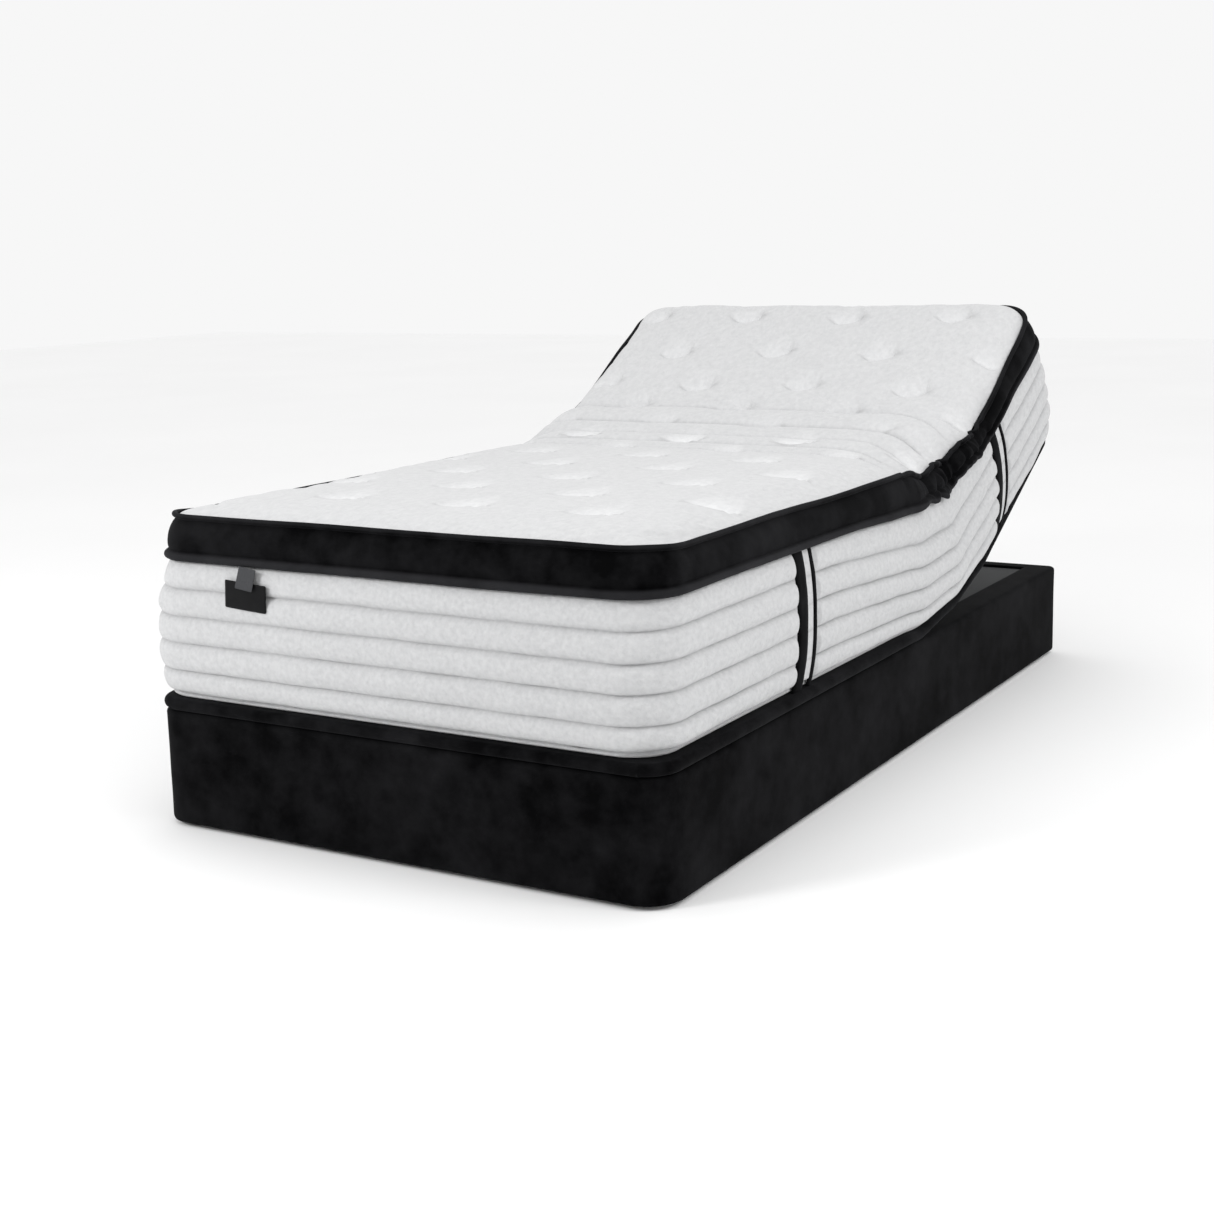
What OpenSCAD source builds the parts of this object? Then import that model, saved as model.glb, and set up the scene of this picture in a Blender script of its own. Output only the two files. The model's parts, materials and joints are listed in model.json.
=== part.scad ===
// Adjustable bed base with its matching pillow-top mattress.
// Millimetres. X is the width, +Y runs from foot to head, +Z is up.
// The origin is on the floor under the centre of the base.

/* [Deck] */
// Width of the deck and of the mattress
deck_w = 1070; // [1000:10:1100]
// Length of the deck when it lies flat
deck_l = 2030; // [2030:10:2100]
// Thickness of one covered deck panel
panel_t = 22; // [20:1:26]
// Thickness of the velvet cover round each panel board
cover_t = 3; // [2:0.5:4]
// Height of the hinge axes, which is the middle of the flat deck
hinge_z = 229; // [229:1:240]
// Distance from the centre to the hip hinge, towards the foot
hip_back = 130; // [110:5:150]
// Length of the thigh panel
thigh_l = 400; // [380:10:420]
// Distance from the centre to the first back hinge, towards the head
back_hinge_y = 95; // [90:5:110]
// Length of each of the two short back panels
short_panel_l = 190; // [180:5:200]

/* [Pose] */
// Angle that each of the three back hinges has in the stored pose
rest_fold = 9; // [9:1:9]

/* [Box] */
// Thickness of the timber rails
rail_t = 20; // [16:1:24]
// Thickness of the velvet and its backing on the box
skin_t = 3; // [2:0.5:4]
// Height of the box above the floor
box_bottom = 8; // [6:1:12]
// Height of the top of the rim
rim_top = 217; // [215:0.5:217]
// Thickness of the rim boards
rim_t = 18; // [15:1:20]
// Width of the rim boards
rim_w = 64; // [60:1:70]
// Depth of the planks below the top of the rim
plank_drop = 6; // [4:1:8]
// Thickness of the planks
plank_t = 12; // [10:1:14]
// Radius of the two upright corners at the foot
foot_corner_r = 65; // [40:1:80]
// Radius of the two upright corners at the head
head_corner_r = 20; // [12:1:30]

/* [Mattress] */
// Thickness of the mattress
mattress_t = 352; // [300:1:380]
// Radius of the mattress corners seen from above
mattress_corner_r = 95; // [60:5:120]

/* [Lift arms] */
// Height of both torsion tubes
tube_z = 150; // [148:1:152]
// Outer radius of the torsion tubes
tube_r = 20; // [18:1:22]
// Distance from the centre to the head torsion tube, towards the head
head_tube_y = 43; // [43:1:45]
// Distance from the centre to the leg torsion tube, towards the foot
leg_tube_back = 60; // [60:1:62]
// Length of the head lift arms
head_arm_l = 560; // [560:1:560]
// Length of the leg lift arms
leg_arm_l = 282; // [282:1:282]
// Radius of the nylon rollers
roller_r = 18; // [18:0.5:18]
// Distance of the rollers from the centre line
roller_x = 206; // [200:1:206]
// Length of the slotted levers
lever_l = 90; // [88:1:92]

/* [Actuators] */
// Distance of each actuator from the centre line
motor_x = 55; // [50:1:60]
// Height of the fixed actuator pins
motor_pin_z = 88; // [86:1:90]
// Radius of the sliding rods
rod_r = 11; // [10:0.5:12]
// Radius of every clevis pin
pin_r = 6; // [5:0.5:7]
// Radial clearance of every running fit
fit = 0.05; // [0.02:0.01:0.1]

/* [Hidden] */
$fn = 64;

// Colours
velvet = "#16161a";
knit = "#ececec";
timber = "#c9a877";
plywood = "#b58f5c";
grey_cloth = "#3d3f42";
black_steel = "#26282b";
zinc = "#a9adb0";
nylon = "#d8d8d2";
black_plastic = "#1d1e20";

// Box outline, without and with its skin
box_x = deck_w / 2 - 3;
box_foot = deck_l / 2 - 2;
box_head = deck_l / 2;
core_x = box_x - skin_t;
core_foot = box_foot - skin_t;
core_head = box_head - skin_t;
rim_bottom = rim_top - rim_t;
rim_in_x = core_x - rim_w;
rim_end_w = 47;
plank_top = rim_top - plank_drop;
plank_bottom = plank_top - plank_t;

// Slots in the planks that the lift arms rise through
slot_x0 = 168;
slot_x1 = 232;
slot_foot = -400;
slot_head = 680;
plank_joint = 1;

// Chassis
chassis_x = 260;
chassis_w = 40;
chassis_top = 148;
chassis_foot = -560;
chassis_head = 530;
cross_y = [-530, 500];
cross_top = chassis_top - chassis_w;
bracket_t = 6;

// Glides and headboard holes
glide_x = 488;
glide_y = [-950, 0, 950];
glide_r = 25;
headboard_x = 380;
headboard_z = [80, 140];
headboard_hole_r = 4.25;

// Deck hinges
hinge_x = [-400, 0, 400];
hinge_w = 60;
knuckle_r = 5;
hinge_pin_r = 3;
knuckle_gap = 1;
end_gap = 4;
hip_gap = 5;
knee_gap = 8;
half_t = panel_t / 2;
leaf_t = 3;
leaf_l = 45;
notch_l = 18;

// Lengths and hinge positions of the panels
hip_y = -hip_back;
knee_y = hip_y - thigh_l;
calf_l = deck_l / 2 + knee_y;
head_l = deck_l / 2 - back_hinge_y - 2 * short_panel_l;
fold_1 = [back_hinge_y, hinge_z];
fold_2 = fold_1 + short_panel_l * [cos(rest_fold), sin(rest_fold)];
fold_3 = fold_2 + short_panel_l * [cos(2 * rest_fold), sin(2 * rest_fold)];

// Lift arms: angle of each arm when the deck is flat, and its turn for each degree of lift
head_arm_flat = 4.68;
head_arm_turn = 0.507;
leg_arm_flat = 9.4;
lever_flat = 100;
head_turn = head_arm_turn * 3 * rest_fold;
head_arm_a = head_arm_flat + head_turn;
head_lever_a = head_turn - lever_flat;
leg_tube_y = -leg_tube_back;
arm_t = 10;
hub_r = tube_r + 12;
// Both pairs of arms dip in the middle to stay under the folding deck
head_arm = [[0, 0, hub_r], [130, -24, 18], [270, -46, 15], [455, -32, 14], [head_arm_l, 0, 13]];
leg_arm = [[0, 0, hub_r], [110, -4, 18], [leg_arm_l, 0, 13]];
roller_w = 20;
arm_x = roller_x - roller_w / 2 - arm_t / 2 - 1.5;
roller_pin_r = 6;
lever_t = 12;
slot_half_w = pin_r + 1.3;
slot_travel = 5;

// Wedge tracks: depth of the running face at the hinge, and how fast it rises with distance
head_track_depth = 34.4;
head_track_rise = 0.249;
head_track_u = [78, 132];
thigh_track_depth = 39.8;
thigh_track_rise = 0.177;
thigh_track_u = [170, 216];
track_w = 22;

// Actuators: fixed pin, lever pin, and the line between them
head_pin_y = -480;
leg_pin_y = 450;
head_lever_pin = [head_tube_y + lever_l * cos(head_lever_a), tube_z + lever_l * sin(head_lever_a)];
leg_lever_pin = [leg_tube_y - lever_l * cos(lever_flat), tube_z - lever_l * sin(lever_flat)];
head_motor_v = head_lever_pin - [head_pin_y, motor_pin_z];
leg_motor_v = leg_lever_pin - [leg_pin_y, motor_pin_z];
head_motor_a = atan2(head_motor_v.y, head_motor_v.x);
leg_motor_a = atan2(leg_motor_v.y, leg_motor_v.x);
tongue_w = 20;
casing_y0 = 16;
casing_y1 = 80;
casing_r = 36;
can_r = 30;
can_x = 62;
can_end = 225;
outer_tube_r = 17;
outer_tube_end = 330;
rod_start = 110;
fork_w = 34;
fork_gap = 15;

// Mattress sections: lean of the end faces that lets the deck fold
mattress_z = half_t + 0.5;
back_lean = 10.6;
hip_lean = 15.6;
section_gap = 3.5;

// ---------- shared shapes ----------

// A box given by its lowest and highest corners
module block(low, high) translate(low) cube(high - low);

// Both sides of the bed
module both_sides() {
  children();
  mirror([1, 0, 0]) children();
}

// A round bar along X
module bar(r, x0, x1, y = 0, z = 0) translate([x0, y, z])
  rotate([0, 90, 0]) cylinder(r = r, h = x1 - x0);

// A tube along Y
module bar_y(r, y0, y1, x = 0, z = 0) translate([x, y0, z])
  rotate([-90, 0, 0]) cylinder(r = r, h = y1 - y0);

// A profile drawn in Y and Z, extruded along X
module across(x0, x1) translate([x0, 0, 0]) rotate([90, 0, 90]) linear_extrude(x1 - x0) children();

// Plan outline of the box, inset by a distance
module box_plan(inset = 0) {
  x = box_x - inset;
  foot = box_foot - inset;
  head = box_head - inset;
  rf = foot_corner_r - inset;
  rh = head_corner_r - inset;
  union() {
    translate([-x, -foot + rf]) square([2 * x, foot + head - rf - rh]);
    translate([-x + rf, -foot]) square([2 * (x - rf), foot]);
    translate([-x + rh, 0]) square([2 * (x - rh), head]);
    for (s = [-1, 1]) translate([s * (x - rf), -foot + rf]) circle(rf);
    for (s = [-1, 1]) translate([s * (x - rh), head - rh]) circle(rh);
  }
}

// Frames of the folding panels: local Y runs away from the hinge, local Z is the panel's upper side
module at_hinge(p, a) translate([0, p.x, p.y]) rotate([a, 0, 0]) children();
module in_lumbar_1() at_hinge(fold_1, rest_fold) children();
module in_lumbar_2() at_hinge(fold_2, 2 * rest_fold) children();
module in_head() at_hinge(fold_3, 3 * rest_fold) children();
module in_legs(y) translate([0, y, hinge_z]) mirror([0, 1, 0]) children();

// ---------- deck panels ----------

// Room for the hinges at one end of a panel
module hinge_notches(y, side) {
  for (x = hinge_x) {
    y0 = side > 0 ? y - 1 : y - notch_l;
    block([x - hinge_w / 2 - 1.5, y0, -panel_t], [x + hinge_w / 2 + 1.5, y0 + notch_l + 1, panel_t]);
  }
}

// Plan outline with two rounded corners at its far end
module end_outline(y0, y1, x, r) {
  translate([-x, y0]) square([2 * x, y1 - r - y0]);
  translate([-x + r, y0]) square([2 * (x - r), y1 - y0]);
  for (s = [-1, 1]) translate([s * (x - r), y1 - r]) circle(r);
}

// Solid panel inset all round, with square ends or two rounded corners at its far end
module panel(y0, y1, inset, corner_r) {
  x = deck_w / 2 - inset;
  z = half_t - inset;
  if (corner_r == 0) block([-x, y0 + inset, -z], [x, y1 - inset, z]);
  else translate([0, 0, -z]) linear_extrude(2 * z) end_outline(y0 + inset, y1 - inset, x, corner_r - inset);
}

// Timber board of a panel, between two hinges or from a hinge to a free end
module board(y0, y1, notch1 = true, corner_r = 0) color(plywood) difference() {
  panel(y0, y1, cover_t, corner_r);
  hinge_notches(y0, 1);
  if (notch1) hinge_notches(y1, -1);
}

// Velvet cover that wraps the board on every side
module cover(y0, y1, notch1 = true, corner_r = 0) color(velvet) difference() {
  panel(y0, y1, 0, corner_r);
  panel(y0, y1, cover_t, corner_r);
  hinge_notches(y0, 1);
  if (notch1) hinge_notches(y1, -1);
}

// Side profile of a hinge leaf: a web down from the knuckle and a plate under the panel
module leaf_profile() polygon([
  [3, -4], [5.2, -1.8], [14.5, -half_t], [leaf_l, -half_t],
  [leaf_l, -half_t - leaf_t], [13, -half_t - leaf_t],
]);

// Inner half of the hinges, with the single middle knuckle
module inner_leaves() color(zinc) for (x = hinge_x) difference() {
  knuckle_half = hinge_w / 6;
  union() {
    across(x - hinge_w / 2, x + hinge_w / 2) leaf_profile();
    bar(knuckle_r, x - knuckle_half, x + knuckle_half);
  }
  for (s = [-1, 1]) {
    end = s * (hinge_w / 2 + 1);
    near = s * knuckle_half;
    bar(knuckle_r + 0.6, x + min(end, near), x + max(end, near));
  }
  bar(hinge_pin_r + fit, x - hinge_w, x + hinge_w);
}

// Outer half of the hinges, with two knuckles and the pin between them
module outer_leaves() color(zinc) for (x = hinge_x) {
  knuckle_in = hinge_w / 6 + knuckle_gap;
  difference() {
    union() {
      across(x - hinge_w / 2, x + hinge_w / 2) leaf_profile();
      bar(knuckle_r, x + knuckle_in, x + hinge_w / 2);
      bar(knuckle_r, x - hinge_w / 2, x - knuckle_in);
    }
    bar(knuckle_r + 0.6, x - knuckle_in, x + knuckle_in);
    bar(hinge_pin_r + fit, x - hinge_w, x + hinge_w);
  }
  bar(hinge_pin_r, x - hinge_w / 2 - 1, x + hinge_w / 2 + 1);
}

module seat_board() translate([0, 0, hinge_z]) board(hip_y + hip_gap, back_hinge_y - end_gap);
module seat_cover() translate([0, 0, hinge_z]) cover(hip_y + hip_gap, back_hinge_y - end_gap);
module seat_hinges() {
  translate([0, back_hinge_y, hinge_z]) mirror([0, 1, 0]) outer_leaves();
  translate([0, hip_y, hinge_z]) outer_leaves();
}
module lumbar_1_board() in_lumbar_1() board(end_gap, short_panel_l - end_gap);
module lumbar_1_cover() in_lumbar_1() cover(end_gap, short_panel_l - end_gap);
module lumbar_1_hinges() in_lumbar_1() {
  inner_leaves();
  translate([0, short_panel_l, 0]) mirror([0, 1, 0]) outer_leaves();
}
module lumbar_2_board() in_lumbar_2() board(end_gap, short_panel_l - end_gap);
module lumbar_2_cover() in_lumbar_2() cover(end_gap, short_panel_l - end_gap);
module lumbar_2_hinges() in_lumbar_2() {
  inner_leaves();
  translate([0, short_panel_l, 0]) mirror([0, 1, 0]) outer_leaves();
}
module head_board() in_head() board(end_gap, head_l, notch1 = false, corner_r = head_corner_r);
module head_cover() in_head() cover(end_gap, head_l, notch1 = false, corner_r = head_corner_r);
module head_hinges() in_head() inner_leaves();
module thigh_board() in_legs(hip_y) board(hip_gap, thigh_l - knee_gap);
module thigh_cover() in_legs(hip_y) cover(hip_gap, thigh_l - knee_gap);
module thigh_hinges() in_legs(hip_y) {
  inner_leaves();
  translate([0, thigh_l, 0]) mirror([0, 1, 0]) outer_leaves();
}

// The lower foot edge of the calf panel is rounded where it slides on the rim
calf_edge_r = 9;
module calf_edge() difference() {
  block([-deck_w, calf_l - calf_edge_r, -half_t - 2], [deck_w, calf_l + 1, -half_t + calf_edge_r]);
  bar(calf_edge_r, -deck_w, deck_w, calf_l - calf_edge_r, -half_t + calf_edge_r);
}
// Pockets under the two foot corners of the calf panel, for the glides
pad_x = [467, 487];
pad_end = 3;
pad_l = 45;
module glide_pockets() both_sides() block(
  [pad_x[0] - 0.2, calf_l - pad_l, -half_t - 2], [pad_x[1] + 0.2, calf_l + 1, -half_t + calf_edge_r]);
module calf_board() in_legs(knee_y) difference() {
  board(knee_gap, calf_l, notch1 = false, corner_r = foot_corner_r + 2);
  calf_edge();
  glide_pockets();
}
module calf_cover() in_legs(knee_y) difference() {
  cover(knee_gap, calf_l, notch1 = false, corner_r = foot_corner_r + 2);
  calf_edge();
  glide_pockets();
}
module calf_hinges() in_legs(knee_y) inner_leaves();
// Nylon pads that carry the foot end of the deck on the rim
module calf_glides() color(nylon) in_legs(knee_y) both_sides() {
  proud = 0.7;
  y1 = calf_l - pad_end - calf_edge_r;
  top = -half_t + calf_edge_r - 0.2;
  block([pad_x[0], calf_l - pad_l + 0.2, -half_t - proud], [pad_x[1], y1, top]);
  intersection() {
    bar(calf_edge_r, pad_x[0], pad_x[1], y1, -half_t - proud + calf_edge_r);
    block([0, y1, -panel_t], [deck_w, calf_l + 1, top]);
  }
}

// ---------- wedge tracks ----------

// A wedge under a panel whose lower face carries a roller
module track(u, depth, rise) color(black_steel) both_sides() {
  low = [for (v = u) -half_t - depth + rise * v];
  across(roller_x - track_w / 2, roller_x + track_w / 2)
    polygon([[u[0], -half_t], [u[1], -half_t], [u[1], low[1]], [u[0], low[0]]]);
}
module head_tracks() in_head() track(head_track_u, head_track_depth, head_track_rise);
module thigh_tracks() in_legs(hip_y) track(thigh_track_u, thigh_track_depth, thigh_track_rise);

// ---------- mattress ----------

// One section of the mattress: its end faces lean apart so that the deck can fold
module section(y0, y1, lean0, lean1) color(knit) {
  top = mattress_z + mattress_t;
  across(-deck_w / 2, deck_w / 2) polygon([
    [y0, mattress_z], [y1, mattress_z],
    [y1 - mattress_t * tan(lean1), top], [y0 + mattress_t * tan(lean0), top],
  ]);
}
// Keeps a section inside the rounded corners of its free end
module end_plan(y1) translate([0, 0, -panel_t]) linear_extrude(2 * mattress_t)
  end_outline(-y1, y1, deck_w / 2, mattress_corner_r);
module seat_mattress() translate([0, 0, hinge_z])
  section(hip_y + section_gap, back_hinge_y - section_gap, hip_lean, back_lean);
module short_section() section(section_gap, short_panel_l - section_gap, back_lean, back_lean);
module lumbar_1_mattress() in_lumbar_1() short_section();
module lumbar_2_mattress() in_lumbar_2() short_section();
module head_mattress() in_head() intersection() {
  section(section_gap, head_l, back_lean, 0);
  end_plan(head_l);
}
module thigh_mattress() in_legs(hip_y) section(section_gap, thigh_l - section_gap, hip_lean, 0);
module calf_mattress() in_legs(knee_y) intersection() {
  section(section_gap, calf_l, 0, 0);
  end_plan(calf_l);
}

// ---------- box ----------

module side_rails() color(timber) both_sides()
  block([core_x - rail_t, -core_foot + 62, box_bottom], [core_x, core_head - 40, rim_bottom]);
module end_rails() color(timber) {
  block([-core_x + 62, -core_foot, box_bottom], [core_x - 62, -core_foot + rail_t, rim_bottom]);
  difference() {
    block([-core_x + 40, core_head - rail_t, box_bottom], [core_x - 40, core_head, rim_bottom]);
    headboard_holes();
  }
}
module headboard_holes() for (s = [-1, 1]) for (z = headboard_z)
  bar_y(headboard_hole_r, core_head - 2 * rail_t, box_head + 1, s * headboard_x, z);
// Solid corner blocks, and one more block at the middle of each side
module corner_blocks() color(timber) {
  intersection() {
    translate([0, 0, box_bottom]) linear_extrude(rim_bottom - box_bottom) box_plan(skin_t);
    both_sides() {
      block([core_x - 62, -core_foot - 1, 0], [core_x + 1, -core_foot + 62, rim_top]);
      block([core_x - 40, core_head - 40, 0], [core_x + 1, core_head + 1, rim_top]);
    }
  }
  both_sides() block([core_x - 62, -40, box_bottom], [core_x - rail_t, 40, 60]);
}
// Ledges inside the rails and posts on the chassis that carry the planks
module plank_supports() color(timber) {
  ledge_z = plank_bottom - rim_t;
  both_sides() {
    block([rim_in_x - 14, -core_foot + 62, ledge_z], [core_x - rail_t, core_head - 40, plank_bottom]);
    for (y = [-500, -200, 100, 400])
      block([chassis_x - 18, y - 30, chassis_top], [chassis_x + 18, y + 30, plank_bottom]);
  }
  x = rim_in_x - 15;
  block([-x, -core_foot + rail_t, ledge_z], [x, -core_foot + 82, plank_bottom]);
  block([-x, core_head - 82, ledge_z], [x, core_head - rail_t, plank_bottom]);
}
module rim_outline() translate([0, 0, rim_bottom]) linear_extrude(rim_t) box_plan(skin_t);
module rim_side_boards() color(timber) intersection() {
  rim_outline();
  both_sides() block(
    [rim_in_x, -core_foot + rim_end_w, rim_bottom - 1], [core_x + 1, core_head - rim_end_w, rim_top + 1]);
}
module rim_end_boards() color(timber) intersection() {
  rim_outline();
  union() {
    block([-deck_w, -deck_l, 0], [deck_w, -core_foot + rim_end_w, rim_top + 1]);
    block([-deck_w, core_head - rim_end_w, 0], [deck_w, deck_l, rim_top + 1]);
  }
}
// Cloth-covered planks: one at each end, one in the middle and one at each side of the slots
module cover_planks() color(grey_cloth) {
  z0 = plank_bottom;
  z1 = plank_top;
  foot = -core_foot + rim_end_w;
  head = core_head - rim_end_w;
  block([-rim_in_x, foot, z0], [rim_in_x, slot_foot - plank_joint, z1]);
  block([-rim_in_x, slot_head + plank_joint, z0], [rim_in_x, head, z1]);
  block([-slot_x0, slot_foot, z0], [slot_x0, slot_head, z1]);
  both_sides() block([slot_x1, slot_foot, z0], [rim_in_x, slot_head, z1]);
}
module side_skins() color(velvet) both_sides()
  block([core_x, -box_foot + foot_corner_r, box_bottom], [box_x, box_head - head_corner_r, rim_top]);
module end_skins() color(velvet) difference() {
  translate([0, 0, box_bottom]) linear_extrude(rim_top - box_bottom) difference() {
    box_plan();
    box_plan(skin_t);
    translate([-deck_w, -box_foot + foot_corner_r])
      square([2 * deck_w, box_foot + box_head - foot_corner_r - head_corner_r]);
  }
  headboard_holes();
}
module at_glides() both_sides() for (y = glide_y) translate([glide_x, y, 0]) children();
// Steel-capped nylon glides
module glides() color(zinc) at_glides() rotate_extrude() difference() {
  polygon([[0, 0], [glide_r - 3, 0], [glide_r, 3], [glide_r, box_bottom], [0, box_bottom]]);
  square([5, 2 * box_bottom + 1], center = true);
  translate([0, box_bottom / 2]) square([2.6, 2 * box_bottom]);
}
module glide_screws() color(zinc) at_glides() {
  translate([0, 0, box_bottom / 2 + 0.5]) cylinder(r = 2.5, h = 34);
  translate([0, 0, 2]) cylinder(r = 4.5, h = box_bottom / 2 - 1.5);
}
// Flanged nuts behind the headboard holes
module headboard_t_nuts() color(zinc) for (s = [-1, 1]) for (z = headboard_z) difference() {
  bar_y(12, core_head - rail_t - 2.5, core_head - rail_t, s * headboard_x, z);
  bar_y(headboard_hole_r, core_head - 2 * rail_t, core_head, s * headboard_x, z);
}

// ---------- chassis ----------

// A square steel tube along X or Y, open at both ends
module square_tube(low, high, along) color(black_steel) difference() {
  wall = 2.5;
  w = along == 0 ? [-1, wall, wall] : [wall, -1, wall];
  block(low, high);
  block(low + w, high - w);
}
module chassis_rails() both_sides() square_tube(
  [chassis_x - chassis_w / 2, chassis_foot, cross_top],
  [chassis_x + chassis_w / 2, chassis_head, chassis_top], 1);
module cross_tubes() for (y = cross_y) square_tube(
  [-core_x + rail_t, y - chassis_w / 2, cross_top - chassis_w],
  [core_x - rail_t, y + chassis_w / 2, cross_top], 0);
// One plate on each chassis rail holds both torsion tubes
module pivot_brackets() color(black_steel) both_sides() {
  x1 = chassis_x - chassis_w / 2;
  difference() {
    across(x1 - bracket_t, x1) union() {
      translate([head_tube_y, tube_z]) circle(tube_r + 14);
      translate([leg_tube_y, tube_z]) circle(tube_r + 14);
      translate([leg_tube_y - 34, cross_top]) square([head_tube_y - leg_tube_y + 68, tube_z - cross_top]);
    }
    for (y = [head_tube_y, leg_tube_y]) bar(tube_r + fit, 0, deck_w, y, tube_z);
  }
}
// Two cheeks on a cross tube that hold the fixed end of an actuator
module motor_bracket(x, y, face_y) color(black_steel) for (s = [-1, 1]) {
  x0 = x + (s > 0 ? tongue_w / 2 + 1 : -tongue_w / 2 - 6);
  difference() {
    union() {
      bar(15, x0, x0 + 5, y, motor_pin_z);
      block([x0, min(y, face_y), motor_pin_z - 15], [x0 + 5, max(y, face_y), motor_pin_z + 15]);
    }
    bar(pin_r + fit, x0 - 1, x0 + 6, y, motor_pin_z);
  }
}
module motor_brackets() {
  motor_bracket(motor_x, head_pin_y, cross_y[0] + chassis_w / 2);
  motor_bracket(-motor_x, leg_pin_y, cross_y[1] - chassis_w / 2);
}
module motor_pins() color(zinc) {
  half = tongue_w / 2 + 9;
  bar(pin_r, motor_x - half, motor_x + half, head_pin_y, motor_pin_z);
  bar(pin_r, -motor_x - half, -motor_x + half, leg_pin_y, motor_pin_z);
}
// Control box under the left plank, with its cooling ribs, lead sockets and mains inlet
module control_box() color(black_plastic) {
  low = [-440, 150, plank_bottom - 50];
  high = [-310, 330, plank_bottom];
  difference() {
    block(low, high);
    for (i = [0 : 4]) translate([high.x - 8, low.y + 30 + 12 * i, low.z + 12]) cube([9, 6, 12]);
    translate([low.x - 1, low.y + 120, low.z + 12]) cube([17, 28, 22]);
  }
  for (i = [0 : 8]) translate([low.x + 14 + 12 * i, low.y + 10, low.z - 3]) cube([4, high.y - low.y - 20, 3]);
  for (y = [low.y - 12, high.y]) translate([low.x + 45, y, high.z - 6]) cube([40, 12, 6]);
}
// Power supply brick under the right plank
module power_supply() color(black_plastic) {
  low = [330, 160, plank_bottom - 42];
  block(low, low + [70, 150, 42]);
  block(low + [25, -14, 34], low + [45, 0, 42]);
  block(low + [25, 150, 34], low + [45, 164, 42]);
}

// ---------- lift arms ----------

// Flat bar profile with round ends, along local X from the origin
module arm_plate(l, r0, r1) {
  circle(r0);
  polygon([[0, -r0], [l, -r1], [l, r1], [0, r0]]);
  translate([l, 0]) circle(r1);
}
// Lever profile pointing along local X, with a slot for the rod's pin
module lever_plate() difference() {
  arm_plate(lever_l, tube_r + 10, slot_half_w + 9);
  for (d = [-slot_travel, slot_travel]) translate([lever_l + d, 0]) circle(slot_half_w);
  translate([lever_l - slot_travel, -slot_half_w]) square([2 * slot_travel, 2 * slot_half_w]);
}
// Plate bent through points, each given as distance, height and radius
module bent_plate(points) for (i = [1 : len(points) - 1]) {
  a = points[i - 1];
  b = points[i];
  translate([a.x, a.y]) rotate(atan2(b.y - a.y, b.x - a.x)) arm_plate(norm([b.x - a.x, b.y - a.y]), a.z, b.z);
}
// Two arms and one lever, welded round a torsion tube
module lift_arms(points, arm_a, lever_a, lever_x) color(black_steel) difference() {
  union() {
    both_sides() across(arm_x - arm_t / 2, arm_x + arm_t / 2) rotate(arm_a) bent_plate(points);
    across(lever_x - lever_t / 2, lever_x + lever_t / 2) rotate(lever_a) lever_plate();
  }
  bar(tube_r, -deck_w, deck_w);
  rotate([arm_a, 0, 0]) bar(roller_pin_r, -deck_w, deck_w, points[len(points) - 1].x);
}
module roller_pins(l, arm_a) color(zinc) rotate([arm_a, 0, 0]) both_sides() {
  bar(roller_pin_r, arm_x - arm_t / 2 - 2, roller_x + roller_w / 2 + 4, l);
  bar(roller_pin_r + 3, roller_x + roller_w / 2 + 1, roller_x + roller_w / 2 + 3, l);
}
module rollers(l, arm_a) color(nylon) rotate([arm_a, 0, 0]) both_sides() difference() {
  bar(roller_r, roller_x - roller_w / 2, roller_x + roller_w / 2, l);
  bar(roller_pin_r + fit, 0, deck_w, l);
}
module torsion_tube() color(black_steel) difference() {
  half = chassis_x - chassis_w / 2 - 0.5;
  bar(tube_r, -half, half);
  bar(tube_r - 3, -deck_w, deck_w);
}
module at_head_tube() translate([0, head_tube_y, tube_z]) children();
module at_leg_tube() translate([0, leg_tube_y, tube_z]) mirror([0, 1, 0]) children();
module head_torsion_tube() at_head_tube() torsion_tube();
module head_lift_arms() at_head_tube() lift_arms(head_arm, head_arm_a, head_lever_a, motor_x);
module head_roller_pins() at_head_tube() roller_pins(head_arm_l, head_arm_a);
module head_rollers() at_head_tube() rollers(head_arm_l, head_arm_a);
module leg_torsion_tube() at_leg_tube() torsion_tube();
module leg_lift_arms() at_leg_tube() lift_arms(leg_arm, leg_arm_flat, -lever_flat, -motor_x);
module leg_roller_pins() at_leg_tube() roller_pins(leg_arm_l, leg_arm_flat);
module leg_rollers() at_leg_tube() rollers(leg_arm_l, leg_arm_flat);

// ---------- actuators, drawn along local Y from the fixed pin ----------

// Casing with the gears, the tongue on the fixed pin and the motor can beside the tube
module gearbox(side) color(black_plastic) {
  difference() {
    union() {
      bar(14, -tongue_w / 2, tongue_w / 2);
      block([-tongue_w / 2, 0, -14], [tongue_w / 2, casing_y0, 14]);
      translate([0, casing_y0, 0]) rotate([-90, 0, 0]) linear_extrude(casing_y1 - casing_y0) union() {
        circle(casing_r);
        translate([side * can_x, 0]) circle(casing_r);
        translate([min(0, side * can_x), -casing_r]) square([can_x, 2 * casing_r]);
      }
    }
    bar(pin_r + fit, -tongue_w, tongue_w);
  }
  bar_y(can_r, casing_y1, can_end, side * can_x);
  bar_y(can_r - 8, can_end, can_end + 6, side * can_x);
}
module outer_tube() color(zinc) difference() {
  union() {
    bar_y(outer_tube_r, casing_y1, outer_tube_end);
    bar_y(outer_tube_r + 4, outer_tube_end - 22, outer_tube_end);
  }
  bar_y(rod_r + fit, casing_y1 - 1, outer_tube_end + 1);
}
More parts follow.
